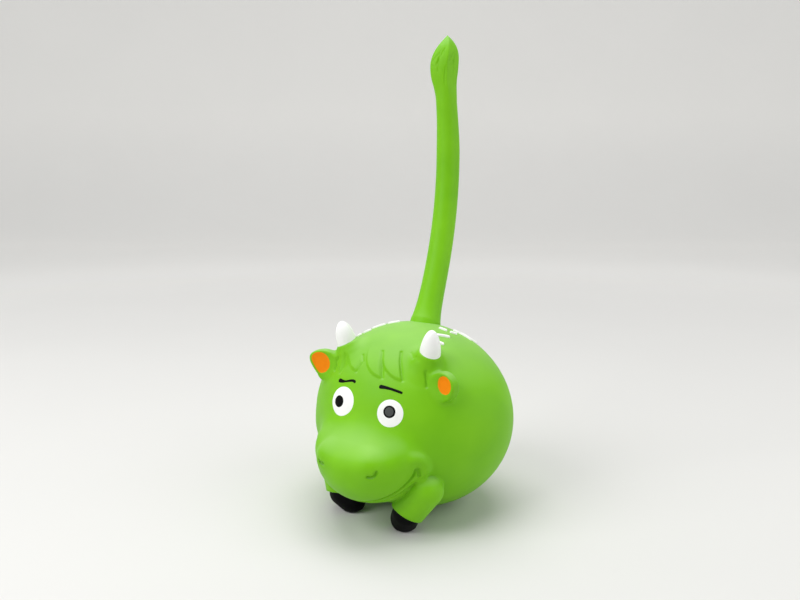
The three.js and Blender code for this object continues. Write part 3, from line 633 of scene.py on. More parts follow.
    def base(self, form, points):
        """The flat base and the socket that the squeaker is pushed into."""
        form = carve(form, points[:, 2], self.base_edge)
        cup_low, cup_high = (np.array(corner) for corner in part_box("squeaker_cup"))
        middle = (cup_low + cup_high) / 2
        away = np.hypot(points[:, 0] - middle[0], points[:, 1] - middle[1]) - self.socket_gap
        recess = np.maximum(away - (cup_high[0] - middle[0]), points[:, 2] - self.socket_recess)
        bore = np.maximum(away - CUP_RADIUS, points[:, 2] - cup_high[2] - self.socket_spare)
        return carve(form, np.minimum(recess, bore), self.socket_edge)

    def __call__(self, points):
        """Distance of points to the whole skin."""
        form = self.head(points)
        near = np.abs(form) < self.detail_reach
        form[near] = self.details(form[near], points[near])
        return form

    def details(self, form, points):
        """Everything that is worked into or set on the head; the legs lie over the hollow under the lip."""
        face_front, face_top = BALL_MIDDLE[1] - self.face_front, BALL_MIDDLE[2] + self.face_top
        front = (points[:, 1] < face_front) & (points[:, 2] < face_top)
        hollow = tube(points[front], self.under_lip, self.lip_groove)
        form[front] = carve(form[front], hollow, self.lip_edge)
        for sign in SIDES.values():
            form = melt(form, self.collar(points, sign), self.collar_melt)
            form = self.ear(form, points, sign)
            form = melt(form, self.leg(points, sign), self.leg_melt(points, sign))
        high = points[:, 2] > BALL_MIDDLE[2]
        form[high] -= self.fringe(points[high])
        form[front] = self.face(form[front], points[front])
        low = points[:, 2] < self.base_top
        form[low] = self.base(form[low], points[low])
        return form


def slope_of(field, points, step=SLOPE_STEP):
    """Slope of a field at points."""
    slope = np.empty_like(points)
    for axis in range(3):
        move = np.zeros(3)
        move[axis] = step
        slope[:, axis] = (field(points + move) - field(points - move)) / (2 * step)
    return slope


# Meshes

def net_surface(field, low, high, step):
    """Points and quads of a field's surface: one point in each cube of a grid that the surface crosses."""
    counts = np.ceil((high - low) / step).astype(int) + 1
    lines = [low[axis] + step * np.arange(counts[axis]) for axis in range(3)]
    values = field(np.stack(np.meshgrid(*lines, indexing="ij"), axis=-1).reshape(-1, 3)).reshape(counts)
    corners = {
        corner: values[tuple(slice(c, n - 1 + c) for c, n in zip(corner, counts))]
        for corner in product((0, 1), repeat=3)
    }
    filled = sum((corner < 0).astype(int) for corner in corners.values())
    crossed = (filled > 0) & (filled < 8)
    total, hits = np.zeros((crossed.sum(), 3)), np.zeros(crossed.sum())
    for start, end in product(corners, repeat=2):
        if sum(end) - sum(start) != 1 or np.any(np.array(end) < start):
            continue
        first, second = corners[start][crossed], corners[end][crossed]
        cut = (first < 0) != (second < 0)
        share = np.where(cut, first / np.where(cut, first - second, 1), 0)
        spot = np.array(start) + share[:, None] * (np.array(end) - start)
        total += np.where(cut[:, None], spot, 0)
        hits += cut
    points = low + step * (np.argwhere(crossed) + total / hits[:, None])
    index = np.full(crossed.shape, -1)
    index[crossed] = np.arange(len(points))
    return settle_points(field, points), net_faces(values < 0, index)


def net_faces(inside, index):
    """Quads round every grid edge that passes through the surface."""
    faces = []
    for axis in range(3):
        first = np.moveaxis(inside, axis, 0)
        cells = np.moveaxis(index, axis, 0)
        for outward in (True, False):
            leaves = first[:-1] & ~first[1:] if outward else ~first[:-1] & first[1:]
            i, u, v = np.nonzero(leaves[:, 1:-1, 1:-1])
            ring = [cells[i, u, v], cells[i, u + 1, v], cells[i, u + 1, v + 1], cells[i, u, v + 1]]
            turned = ring if outward == (axis != 1) else ring[::-1]
            faces.append(np.stack(turned, axis=1))
    return np.concatenate(faces)


def settle_points(field, points, rounds=2):
    """Points moved onto a field's surface along its slope."""
    least_size = 0.05
    for _ in range(rounds):
        slope = slope_of(field, points)
        size = np.maximum(np.sum(slope * slope, axis=1), least_size)
        points = points - np.clip(field(points) / size, -MM, MM)[:, None] * slope
    return points


def loft(path, radii, sides, ripple=None):
    """Points and faces of a closed round solid along a path; ripple scales each ring's radius by angle."""
    ways = np.gradient(path, axis=0)
    angles = np.linspace(0, 2 * math.pi, sides, endpoint=False)
    points, faces = [], []
    for k, (middle, way, radius) in enumerate(zip(path, ways, radii)):
        along = unit(way)
        outward = unit(LEFT - along * (LEFT @ along))
        forward = np.cross(along, outward)
        size = radius * (ripple(angles, k / (len(path) - 1)) if ripple else np.ones(sides))
        ring = np.outer(np.cos(angles), outward) + np.outer(np.sin(angles), forward)
        points.extend(middle + size[:, None] * ring)
    for k in range(len(path) - 1):
        for i in range(sides):
            a, b = k * sides + i, k * sides + (i + 1) % sides
            faces.append((a, b, b + sides, a + sides))
    faces.append(tuple(range(sides - 1, -1, -1)))
    faces.append(tuple(range(len(points) - sides, len(points))))
    return points, faces


def lathe(profile, middle, sides):
    """Points and faces of a ring turned from a closed profile of radius and height."""
    points, faces = [], []
    count = len(profile)
    for k in range(sides):
        turn = 2 * math.pi * k / sides
        for radius, height in profile:
            across, along = radius * math.cos(turn), radius * math.sin(turn)
            points.append((middle[0] + across, middle[1] + along, height))
        for i in range(count):
            a, b = k * count + i, k * count + (i + 1) % count
            after = ((k + 1) % sides) * count - k * count
            faces.append((a, a + after, b + after, b))
    return points, faces


def oval_outline(width, height, sides=64):
    """Rim and middle of an oval patch of paint."""
    angles = np.linspace(0, 2 * math.pi, sides, endpoint=False)
    rim = np.stack([np.cos(angles) * width / 2, np.sin(angles) * height / 2], axis=1)
    return rim, np.zeros_like(rim)


def stroke_outline(spots, widths, steps=24):
    """Rim and middle line of a brush stroke through a few spots, with its width at each."""
    stations = np.linspace(0, 1, len(spots))
    shares = np.linspace(0, 1, steps)
    bend = len(spots) - 1
    curves = [np.polyfit(stations, values, bend) for values in np.transpose(spots)]
    spine = np.stack([np.polyval(curve, shares) for curve in curves], axis=1)
    half = np.interp(shares, stations, widths)[:, None] / 2
    way = np.gradient(spine, axis=0)
    way = way / np.linalg.norm(way, axis=1)[:, None]
    side = np.stack([-way[:, 1], way[:, 0]], axis=1)
    swing = np.linspace(0, math.pi, 9)[1:-1, None]
    front = spine[-1] + half[-1] * (np.cos(swing) * side[-1] + np.sin(swing) * way[-1])
    back = spine[0] - half[0] * (np.cos(swing) * side[0] + np.sin(swing) * way[0])
    rim = np.concatenate([spine + half * side, front, (spine - half * side)[::-1], back])
    ends = [np.repeat(spine[i:i + 1], len(swing), axis=0) for i in (steps - 1, 0)]
    return rim[::-1], np.concatenate([spine, ends[0], spine[::-1], ends[1]])[::-1]


def paint_film(field, seat, outline, lift):
    """Points and faces of a film of paint that lies on a field, thickest inside and sunk at its rim."""
    middle, across, upward, outward = seat
    rim, spine = outline
    flat = (spine + FILM_RINGS[:, None, None] * (rim - spine)).reshape(-1, 2)
    spots = middle + flat[:, :1] * across + flat[:, 1:] * upward
    step = outward * SLOPE_STEP
    least_slope = 0.2
    for _ in range(CLOSE_ROUNDS):
        ahead, behind = field(spots + step), field(spots - step)
        slope = np.maximum((ahead - behind) / (2 * SLOPE_STEP), least_slope)
        spots = spots - np.clip((ahead + behind) / 2 / slope, -MM, MM)[:, None] * outward
    count = len(rim)
    rise = np.repeat(lift * (1 - FILM_RINGS ** FILM_ROUNDING) - FILM_RIM_SINK, count)
    points = list(spots + rise[:, None] * outward)
    points.extend(np.array(points[-count:]) - outward * FILM_BACK_SINK)
    faces = []
    for k in range(len(FILM_RINGS)):
        for i in range(count):
            a, b = k * count + i, k * count + (i + 1) % count
            faces.append((a, a + count, b + count, b))
    faces.append(tuple(range(len(points) - 1, len(points) - count - 1, -1)))
    return points, faces


def ball_stroke(field, spots, widths, lift):
    """A brush stroke on the ball through spots given as turn and rise in degrees."""
    seat = on_ball(*np.mean(spots, axis=0))
    places = [on_ball(*spot)[0] - seat[0] for spot in spots]
    flat = np.array([(place @ seat[1], place @ seat[2]) for place in places])
    return paint_film(field, seat, stroke_outline(flat, widths), lift)


def mesh_of(name, points, faces):
    """A smooth mesh with its double points merged."""
    mesh = bpy.data.meshes.new(name)
    mesh.from_pydata([tuple(point) for point in points], [], [tuple(face) for face in faces])
    work = bmesh.new()
    work.from_mesh(mesh)
    bmesh.ops.remove_doubles(work, verts=work.verts, dist=SAME_POINT)
    bmesh.ops.dissolve_degenerate(work, edges=work.edges, dist=SHORTEST_EDGE)
    bmesh.ops.recalc_face_normals(work, faces=work.faces)
    for face in work.faces:
        face.smooth = len(face.verts) <= 4
        if not face.smooth:
            for edge in face.edges:
                edge.smooth = False
    work.to_mesh(mesh)
    work.free()
    return mesh


def refine_bends(mesh, field, bend):
    """Splits the faces where the mesh of a field bends sharply and lays all points on the field."""
    work = bmesh.new()
    work.from_mesh(mesh)
    for edge in work.edges:
        if edge.calc_face_angle(0) > bend:
            for face in edge.link_faces:
                for side in face.edges:
                    side.tag = True
    bent = [edge for edge in work.edges if edge.tag]
    bmesh.ops.subdivide_edges(work, edges=bent, cuts=1, use_grid_fill=True)
    spots = settle_points(field, np.array([vert.co for vert in work.verts]))
    for vert, spot in zip(work.verts, spots):
        vert.co = spot
    work.to_mesh(mesh)
    work.free()


def add_piece(name, form, material):
    """A new object of points and faces, with its material."""
    mesh = mesh_of(name, *form)
    mesh.materials.append(material)
    piece = bpy.data.objects.new(name, mesh)
    bpy.context.scene.collection.objects.link(piece)
    return piece


def seat_on_body(piece, *nodes):
    """Rides a piece on the body, stands it for its nodes and gives it a mesh of its own."""
    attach(piece, "toy_body")
    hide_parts(*nodes)
    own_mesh(piece)


# Materials

def add_node(tree, kind, inputs=None, **settings):
    """A shader node with its settings, values and links."""
    node = tree.nodes.new(kind)
    for name, value in settings.items():
        setattr(node, name, value)
    for name, value in (inputs or {}).items():
        if isinstance(value, bpy.types.NodeSocket):
            tree.links.new(value, node.inputs[name])
        else:
            node.inputs[name].default_value = value
    return node


def new_material(name):
    """An empty material with its node tree and the object's own coordinates."""
    material = bpy.data.materials.new(name)
    material.use_nodes = True
    tree = material.node_tree
    tree.nodes.clear()
    place = add_node(tree, "ShaderNodeTexCoord").outputs["Object"]
    return material, tree, place


def finish_material(tree, inputs):
    """The surface shader and the output of a material."""
    shader = add_node(tree, "ShaderNodeBsdfPrincipled", inputs)
    add_node(tree, "ShaderNodeOutputMaterial", {"Surface": shader.outputs["BSDF"]})


def solid(tint, share=1):
    """A tint as the value of a colour socket, darkened to a share of itself."""
    return [share * value for value in tint] + [1]


def dipped_latex(tint, talc_and_sheen):
    """Dyed natural latex, dipped on a mould: satin, with clouded tone, fine pores, talcum and painted sheen
    on top.
    """
    material, tree, place = new_material("dipped_latex")
    clouds = add_node(tree, "ShaderNodeTexNoise", {"Vector": place, "Scale": 1 / (28 * MM), "Detail": 3})
    cloudiness = {"Value": clouds.outputs["Fac"], "From Min": 0.3, "From Max": 0.7}
    tone_share = add_node(tree, "ShaderNodeMapRange", {**cloudiness, "To Min": 0, "To Max": 1})
    satin = add_node(tree, "ShaderNodeMapRange", {**cloudiness, "To Min": 0.46, "To Max": 0.56})
    tone = add_node(tree, "ShaderNodeMix", {
        "Factor": tone_share.outputs["Result"],
        "A": [0.86 * tint[0], 0.9 * tint[1], 0.7 * tint[2], 1],
        "B": [min(1, 1.1 * tint[0]), min(1, 1.04 * tint[1]), 1.5 * tint[2], 1],
    }, data_type="RGBA")
    # Painted sheen with talcum dust: latex that faces up is paled towards the talcum colour, as the overhead
    # light pales it
    facing = add_node(tree, "ShaderNodeNewGeometry")
    above = add_node(tree, "ShaderNodeSeparateXYZ", {"Vector": facing.outputs["Normal"]})
    talc_and_sheen_share = add_node(tree, "ShaderNodeMapRange", {
        "Value": above.outputs["Z"],
        "From Min": TALC_AND_SHEEN_START,
        "From Max": 1,
        "To Min": 0,
        "To Max": TALC_AND_SHEEN_SHARE,
    })
    dusted_and_sheened = add_node(tree, "ShaderNodeMix", {
        "Factor": talc_and_sheen_share.outputs["Result"],
        "A": tone.outputs["Result"],
        "B": solid(talc_and_sheen),
    }, data_type="RGBA")
    dents = add_node(tree, "ShaderNodeTexNoise", {"Vector": place, "Scale": 1 / (9 * MM), "Detail": 1})
    dented = add_node(tree, "ShaderNodeBump", {
        "Height": dents.outputs["Fac"],
        "Distance": 0.25 * MM,
        "Strength": 0.5,
    })
    # Real pores are finer than this and are drawn coarser, so that they show
    pores = add_node(tree, "ShaderNodeTexNoise", {"Vector": place, "Scale": 1 / (0.7 * MM), "Detail": 2})
    porous = add_node(tree, "ShaderNodeBump", {
        "Height": pores.outputs["Fac"],
        "Distance": 0.03 * MM,
        "Strength": 0.5,
        "Normal": dented.outputs["Normal"],
    })
    finish_material(tree, {
        "Base Color": dusted_and_sheened.outputs["Result"],
        "Roughness": satin.outputs["Result"],
        "Normal": porous.outputs["Normal"],
        "IOR": 1.52,
        "Specular IOR Level": 0.2,
        "Sheen Weight": 0.03,
        "Sheen Roughness": 0.45,
    })
    return material


def brushed_paint(name, tint, roughness, gloss):
    """Rubber paint put on by brush: an even coat with faint strokes and a satin film."""
    material, tree, place = new_material(name)
    strokes = add_node(tree, "ShaderNodeTexNoise", {"Vector": place, "Scale": 1 / (3 * MM), "Detail": 4})
    tone = add_node(tree, "ShaderNodeMix", {
        "Factor": strokes.outputs["Fac"],
        "A": solid(tint, 0.93),
        "B": solid(tint),
    }, data_type="RGBA")
    satin = add_node(tree, "ShaderNodeMapRange", {
        "Value": strokes.outputs["Fac"],
        "To Min": roughness - 0.06,
        "To Max": roughness + 0.06,
    })
    streaked = add_node(tree, "ShaderNodeBump", {
        "Height": strokes.outputs["Fac"],
        "Distance": 0.05 * MM,
        "Strength": 0.5,
    })
    finish_material(tree, {
        "Base Color": tone.outputs["Result"],
        "Roughness": satin.outputs["Result"],
        "Normal": streaked.outputs["Normal"],
        "IOR": 1.5,
        "Specular IOR Level": gloss,
    })
    return material


def moulded_plastic(tint):
    """Moulded polyethylene of the squeaker: waxy white with a soft gloss."""
    material, tree, place = new_material("moulded_polyethylene")
    flow = add_node(tree, "ShaderNodeTexNoise", {"Vector": place, "Scale": 1 / (4 * MM), "Detail": 2})
    tone = add_node(tree, "ShaderNodeMix", {
        "Factor": flow.outputs["Fac"],
        "A": solid(tint, 0.92),
        "B": solid(tint),
    }, data_type="RGBA")
    finish_material(tree, {
        "Base Color": tone.outputs["Result"],
        "Roughness": 0.32,
        "IOR": 1.51,
        "Subsurface Weight": 0.1,
        "Subsurface Scale": 1 * MM,
    })
    return material


def rolled_brass(tint):
    """Rolled brass strip of the reed: bright, with fine lines along the strip."""
    material, tree, place = new_material("rolled_brass")
    stretched = add_node(tree, "ShaderNodeMapping", {"Vector": place, "Scale": (1, 0.05, 1)})
    # Real rolling lines are finer than this and are drawn coarser, so that they show
    lines = add_node(tree, "ShaderNodeTexNoise", {
        "Vector": stretched.outputs["Vector"],
        "Scale": 1 / (0.2 * MM),
        "Detail": 2,
    })
    polish = add_node(tree, "ShaderNodeMapRange", {
        "Value": lines.outputs["Fac"],
        "To Min": 0.2,
        "To Max": 0.38,
    })
    finish_material(tree, {
        "Base Color": solid(tint),
        "Metallic": 1,
        "Roughness": polish.outputs["Result"],
    })
    return material


def studio_floor(tint):
    """Painted board of the studio floor: matt, with a faint unevenness of tone and a lit backdrop."""
    material, tree, place = new_material("painted_board")
    patches = add_node(tree, "ShaderNodeTexNoise", {"Vector": place, "Scale": 1 / (200 * MM), "Detail": 2})
    tone = add_node(tree, "ShaderNodeMix", {
        "Factor": patches.outputs["Fac"],
        "A": solid(tint, 0.97),
        "B": solid(tint),
    }, data_type="RGBA")
    away = add_node(tree, "ShaderNodeVectorMath", {0: place}, operation="LENGTH")
    glow = add_node(tree, "ShaderNodeMapRange", {
        "Value": away.outputs["Value"],
        "From Min": GLOW_REACH[0],
        "From Max": GLOW_REACH[1],
        "To Min": 0,
        "To Max": BACKDROP_GLOW,
    }, interpolation_type="SMOOTHSTEP")
    finish_material(tree, {
        "Base Color": tone.outputs["Result"],
        "Roughness": 0.85,
        "Specular IOR Level": 0.1,
        "Emission Color": tone.outputs["Result"],
        "Emission Strength": glow.outputs["Result"],
    })
    return material


def latex_of(colours):
    """The skin's material, made the first time it is asked for."""
    return bpy.data.materials.get("dipped_latex") or dipped_latex(colours.latex, colours.talc_and_sheen)


def paint_of(colours, kind):
    """The material of a paint, made the first time it is asked for."""
    name, roughness, gloss = PAINTS[kind]
    return bpy.data.materials.get(name) or brushed_paint(name, getattr(colours, kind), roughness, gloss)


# Operators

def toy_of(context):
    """Sizes, colours and the skin's field of the scene's toy."""
    sizes = context.scene.toy_sizes
    return sizes, context.scene.toy_colours, CalfSkin(sizes)


class TOY_OT_stage(bpy.types.Operator):
    """Add the camera, the lamps, the sky and the pale floor"""

    bl_idname = "toy.stage"
    bl_label = "Stage"

    # Size and place of each lamp, and the spot that all of them face, in metres
    lamps = {
        "top": (0.8, (-0.1, 0.1, 0.95)),
        "key": (0.6, (-0.35, -0.65, 0.6)),
        "fill": (0.9, (0.75, 0.15, 0.45)),
    }
    lit_spot = (0, 0, 0.08)
    sky_tint = (0.93, 0.96, 1, 1)
    floor_reach = 2.4
    floor_bend = 0.5
    floor_steps = 12
    floor_gap = 0.05 * MM
    nearest_seen = 10 * MM

    def execute(self, context):
        stage = context.scene.toy_stage
        self.add_camera(context, stage)
        self.add_floor(context, stage)
        for name, (size, place) in self.lamps.items():
            self.add_light(context, f"{name}_light", getattr(stage, name), size, place)
        world = bpy.data.worlds.new("studio_sky")
        context.scene.world = world
        world.use_nodes = True
        sky = world.node_tree.nodes["Background"]
        sky.inputs["Color"].default_value = self.sky_tint
        sky.inputs["Strength"].default_value = stage.sky
        context.scene.view_settings.view_transform = "Standard"
        return {"FINISHED"}

    def add_camera(self, context, stage):
        camera = bpy.data.objects.new("camera", bpy.data.cameras.new("camera"))
        camera.data.lens = stage.lens
        camera.data.clip_start = self.nearest_seen
        heading = stage.turn + stage.yaw
        ahead = Vector((-math.sin(heading), math.cos(heading), -math.tan(stage.pitch)))
        camera.location = (
            math.sin(stage.turn) * stage.distance,
            BALL_MIDDLE[1] - math.cos(stage.turn) * stage.distance,
            stage.height,
        )
        camera.rotation_euler = ahead.to_track_quat("-Z", "Y").to_euler()
        context.scene.collection.objects.link(camera)
        context.scene.camera = camera

    def add_floor(self, context, stage):
        reach, bend, steps = self.floor_reach, self.floor_bend, self.floor_steps
        profile = [(-reach, 0), (reach - bend, 0)]
        for i in range(1, steps + 1):
            curl = math.pi / 2 * i / steps
            profile.append((reach - bend + bend * math.sin(curl), bend - bend * math.cos(curl)))
        profile.append((reach, reach))
        heading = stage.turn + stage.yaw
        ahead = Vector((-math.sin(heading), math.cos(heading), 0))
        aside = Vector((ahead.y, -ahead.x, 0))
        points = [
            ahead * away + aside * side + Vector((0, 0, height - self.floor_gap))
            for away, height in profile
            for side in (-2 * reach, 2 * reach)
        ]
        faces = [(2 * i, 2 * i + 1, 2 * i + 3, 2 * i + 2) for i in range(len(profile) - 1)]
        floor = bpy.data.objects.new("floor", mesh_of("floor", points, faces))
        floor.data.materials.append(studio_floor(stage.floor))
        context.scene.collection.objects.link(floor)

    def add_light(self, context, name, power, size, place):
        lamp = bpy.data.lights.new(name, "AREA")
        lamp.energy = power
        lamp.size = size
        light = bpy.data.objects.new(name, lamp)
        light.location = place
        aim = Vector(self.lit_spot) - light.location
        light.rotation_euler = aim.to_track_quat("-Z", "Y").to_euler()
        context.scene.collection.objects.link(light)


class TOY_OT_skin(bpy.types.Operator):
    """Build the latex skin: ball, muzzle, ears, front legs, fringe and horn collars in one"""

    bl_idname = "toy.skin"
    bl_label = "Latex Skin"

    margin = 3 * MM
    quick_coarseness = 1.8
    sharp_bend = math.radians(9)

    def execute(self, context):
        sizes, colours, skin = toy_of(context)
        step = sizes.skin_step * 1
        low = np.array(CAD_BOX[0]) - self.margin
        high = np.array([CAD_BOX[1][0], CAD_BOX[1][1], BALL_HIGH[2]]) + self.margin
        form = net_surface(skin, low, high, step)
        piece = add_piece("latex_skin", form, latex_of(colours))
        refine_bends(piece.data, skin, self.sharp_bend)
        seat_on_body(
            piece,
            "body_skin", "fibre_filling", "muzzle", "muzzle_filling", "fringe",
            "ear_left", "ear_right", "front_leg_left", "front_leg_right",
        )
        return {"FINISHED"}


class TOY_OT_eyes(bpy.types.Operator):
    """Paint the eyes: a white patch and a black pupil on each side"""

    bl_idname = "toy.eyes"
    bl_label = "Eyes"

    turn = {"left": 15.8, "right": -15.9}
    rise = {"left": 16.9, "right": 18.1}
    width = {"left": 13.1 * MM, "right": 16.0 * MM}
    height = {"left": 12.9 * MM, "right": 14.4 * MM}
    gaze = {"left": (-0.3 * MM, 0.7 * MM), "right": (-2.0 * MM, -0.5 * MM)}
    pupil_share = {"left": 1.04, "right": 1.12}
    grey_spot_width = 4.2 * MM

    def execute(self, context):
        sizes, colours, skin = toy_of(context)
        lift = sizes.paint_lift
        for side in SIDES:
            seat = on_ball(self.turn[side], self.rise[side])
            white = paint_film(skin, seat, oval_outline(self.width[side], self.height[side]), lift)
            piece = add_piece(f"painted_eye_{side}", white, paint_of(colours, "white"))
            seat_on_body(piece, f"eye_white_{side}")
            outline = oval_outline(self.pupil_share[side] * sizes.pupil_width, sizes.pupil_width)
            dot = self.pupil_film(skin, side, outline, lift, lift)
            piece = add_piece(f"painted_pupil_{side}", dot, paint_of(colours, "black"))
            seat_on_body(piece, f"pupil_{side}")
        # A grey spot is painted in the middle of the left pupil
        outline = oval_outline(self.grey_spot_width, self.grey_spot_width)
        spot = self.pupil_film(skin, "left", outline, 2 * lift, lift / 4)
        piece = add_piece("painted_pupil_middle", spot, paint_of(colours, "grey"))
        seat_on_body(piece)
        return {"FINISHED"}

    def pupil_film(self, skin, side, outline, under, lift):
        """A film of paint at a pupil, on top of the films that are under it."""
        middle, across, upward, outward = on_ball(self.turn[side], self.rise[side])
        aside, above = self.gaze[side]
        look = middle + aside * across + above * upward + under * outward
        return paint_film(lambda points: skin(points) - under, (look, across, upward, outward), outline, lift)


class TOY_OT_brows(bpy.types.Operator):
    """Paint the brows: one thin stroke over each eye"""

    bl_idname = "toy.brows"
    bl_label = "Brows"

    spots = {
        "left": ((8.4, 30.9), (14.2, 30.4), (21.4, 28.7)),
        "right": ((-24.4, 28.8), (-22.5, 28.9), (-18.8, 29.5), (-14.6, 30.8), (-10.8, 30.8)),
    }
    widths = {
        "left": (2 * MM, 1.3 * MM, 1.2 * MM),
        "right": (2.1 * MM, 2 * MM, 1 * MM, 1.3 * MM, 1.4 * MM),
    }

    def execute(self, context):
        sizes, colours, skin = toy_of(context)
        for side in SIDES:
            stroke = ball_stroke(skin, self.spots[side], self.widths[side], sizes.paint_lift)
            piece = add_piece(f"painted_brow_{side}", stroke, paint_of(colours, "black"))
            seat_on_body(piece, f"brow_{side}")
        return {"FINISHED"}


class TOY_OT_ear_paint(bpy.types.Operator):
    """Paint the hollows of the ears"""

    bl_idname = "toy.ear_paint"
    bl_label = "Ear Paint"

    def execute(self, context):
        sizes, colours, skin = toy_of(context)
        for side, sign in SIDES.items():
            patch = paint_film(skin, skin.ear_frame(sign), skin.ear_outline(sign), sizes.paint_lift)
            piece = add_piece(f"painted_ear_{side}", patch, paint_of(colours, "orange"))
            seat_on_body(piece, f"ear_hollow_{side}")
        return {"FINISHED"}


class TOY_OT_horns(bpy.types.Operator):
    """Build the white horns on their collars"""

    bl_idname = "toy.horns"
    bl_label = "Horns"

    length = 11.4 * MM
    sink = 2.4 * MM
    fullness = {1: 1.65, -1: 2.1}
    bluntness = 0.5
    rings = 40
    ring_sides = 48
    ring_crowding = 1.6
    tip_gap = 0.01

    def execute(self, context):
        sizes, colours, skin = toy_of(context)
        for side, sign in SIDES.items():
            foot, collar, along = skin.horn_line(sign)
            shares = 1 - np.linspace(1, self.tip_gap, self.rings) ** self.ring_crowding
            heights = shares * (self.length + self.sink) - self.sink
            path = foot + collar * skin.collar_height[sign] + np.outer(heights, along)
            past = np.clip(heights / self.length, 0, 1)
            radii = sizes.horn_width / 2 * (1 - past ** self.fullness[sign]) ** self.bluntness
            horn = loft(path, radii, self.ring_sides)
            piece = add_piece(f"painted_horn_{side}", horn, paint_of(colours, "white"))
            seat_on_body(piece, f"horn_{side}")
        return {"FINISHED"}


class TOY_OT_hooves(bpy.types.Operator):
    """Build the black hooves under the hems of the legs"""

    bl_idname = "toy.hooves"
    bl_label = "Hooves"

    sink = 0.8 * MM
    step = 0.55 * MM
    top_edge = 0.3 * MM
    sole_edge = 1.2 * MM

    def execute(self, context):
        sizes, colours, skin = toy_of(context)
        for side, sign in SIDES.items():
            _, hem, hoof, facing = skin.leg_line(sign)
            field = self.hoof_field(np.array([hem, hoof]), hem, facing, sizes.hoof_width / 2)
            reach = np.full(3, sizes.hoof_width)
            form = net_surface(field, hem - reach, hem + reach, self.step)
            piece = add_piece(f"painted_hoof_{side}", form, paint_of(colours, "black"))
            seat_on_body(piece, f"hoof_{side}")
        return {"FINISHED"}

    def hoof_field(self, line, hem, facing, radius):
        """A round stub that starts in the hem and is flat on the floor."""
        def field(points):
            top = (hem - points) @ facing - self.sink
            stub = rounded(tube(points, line, radius), top, self.top_edge)
            return carve(stub, points[:, 2], self.sole_edge)
        return field


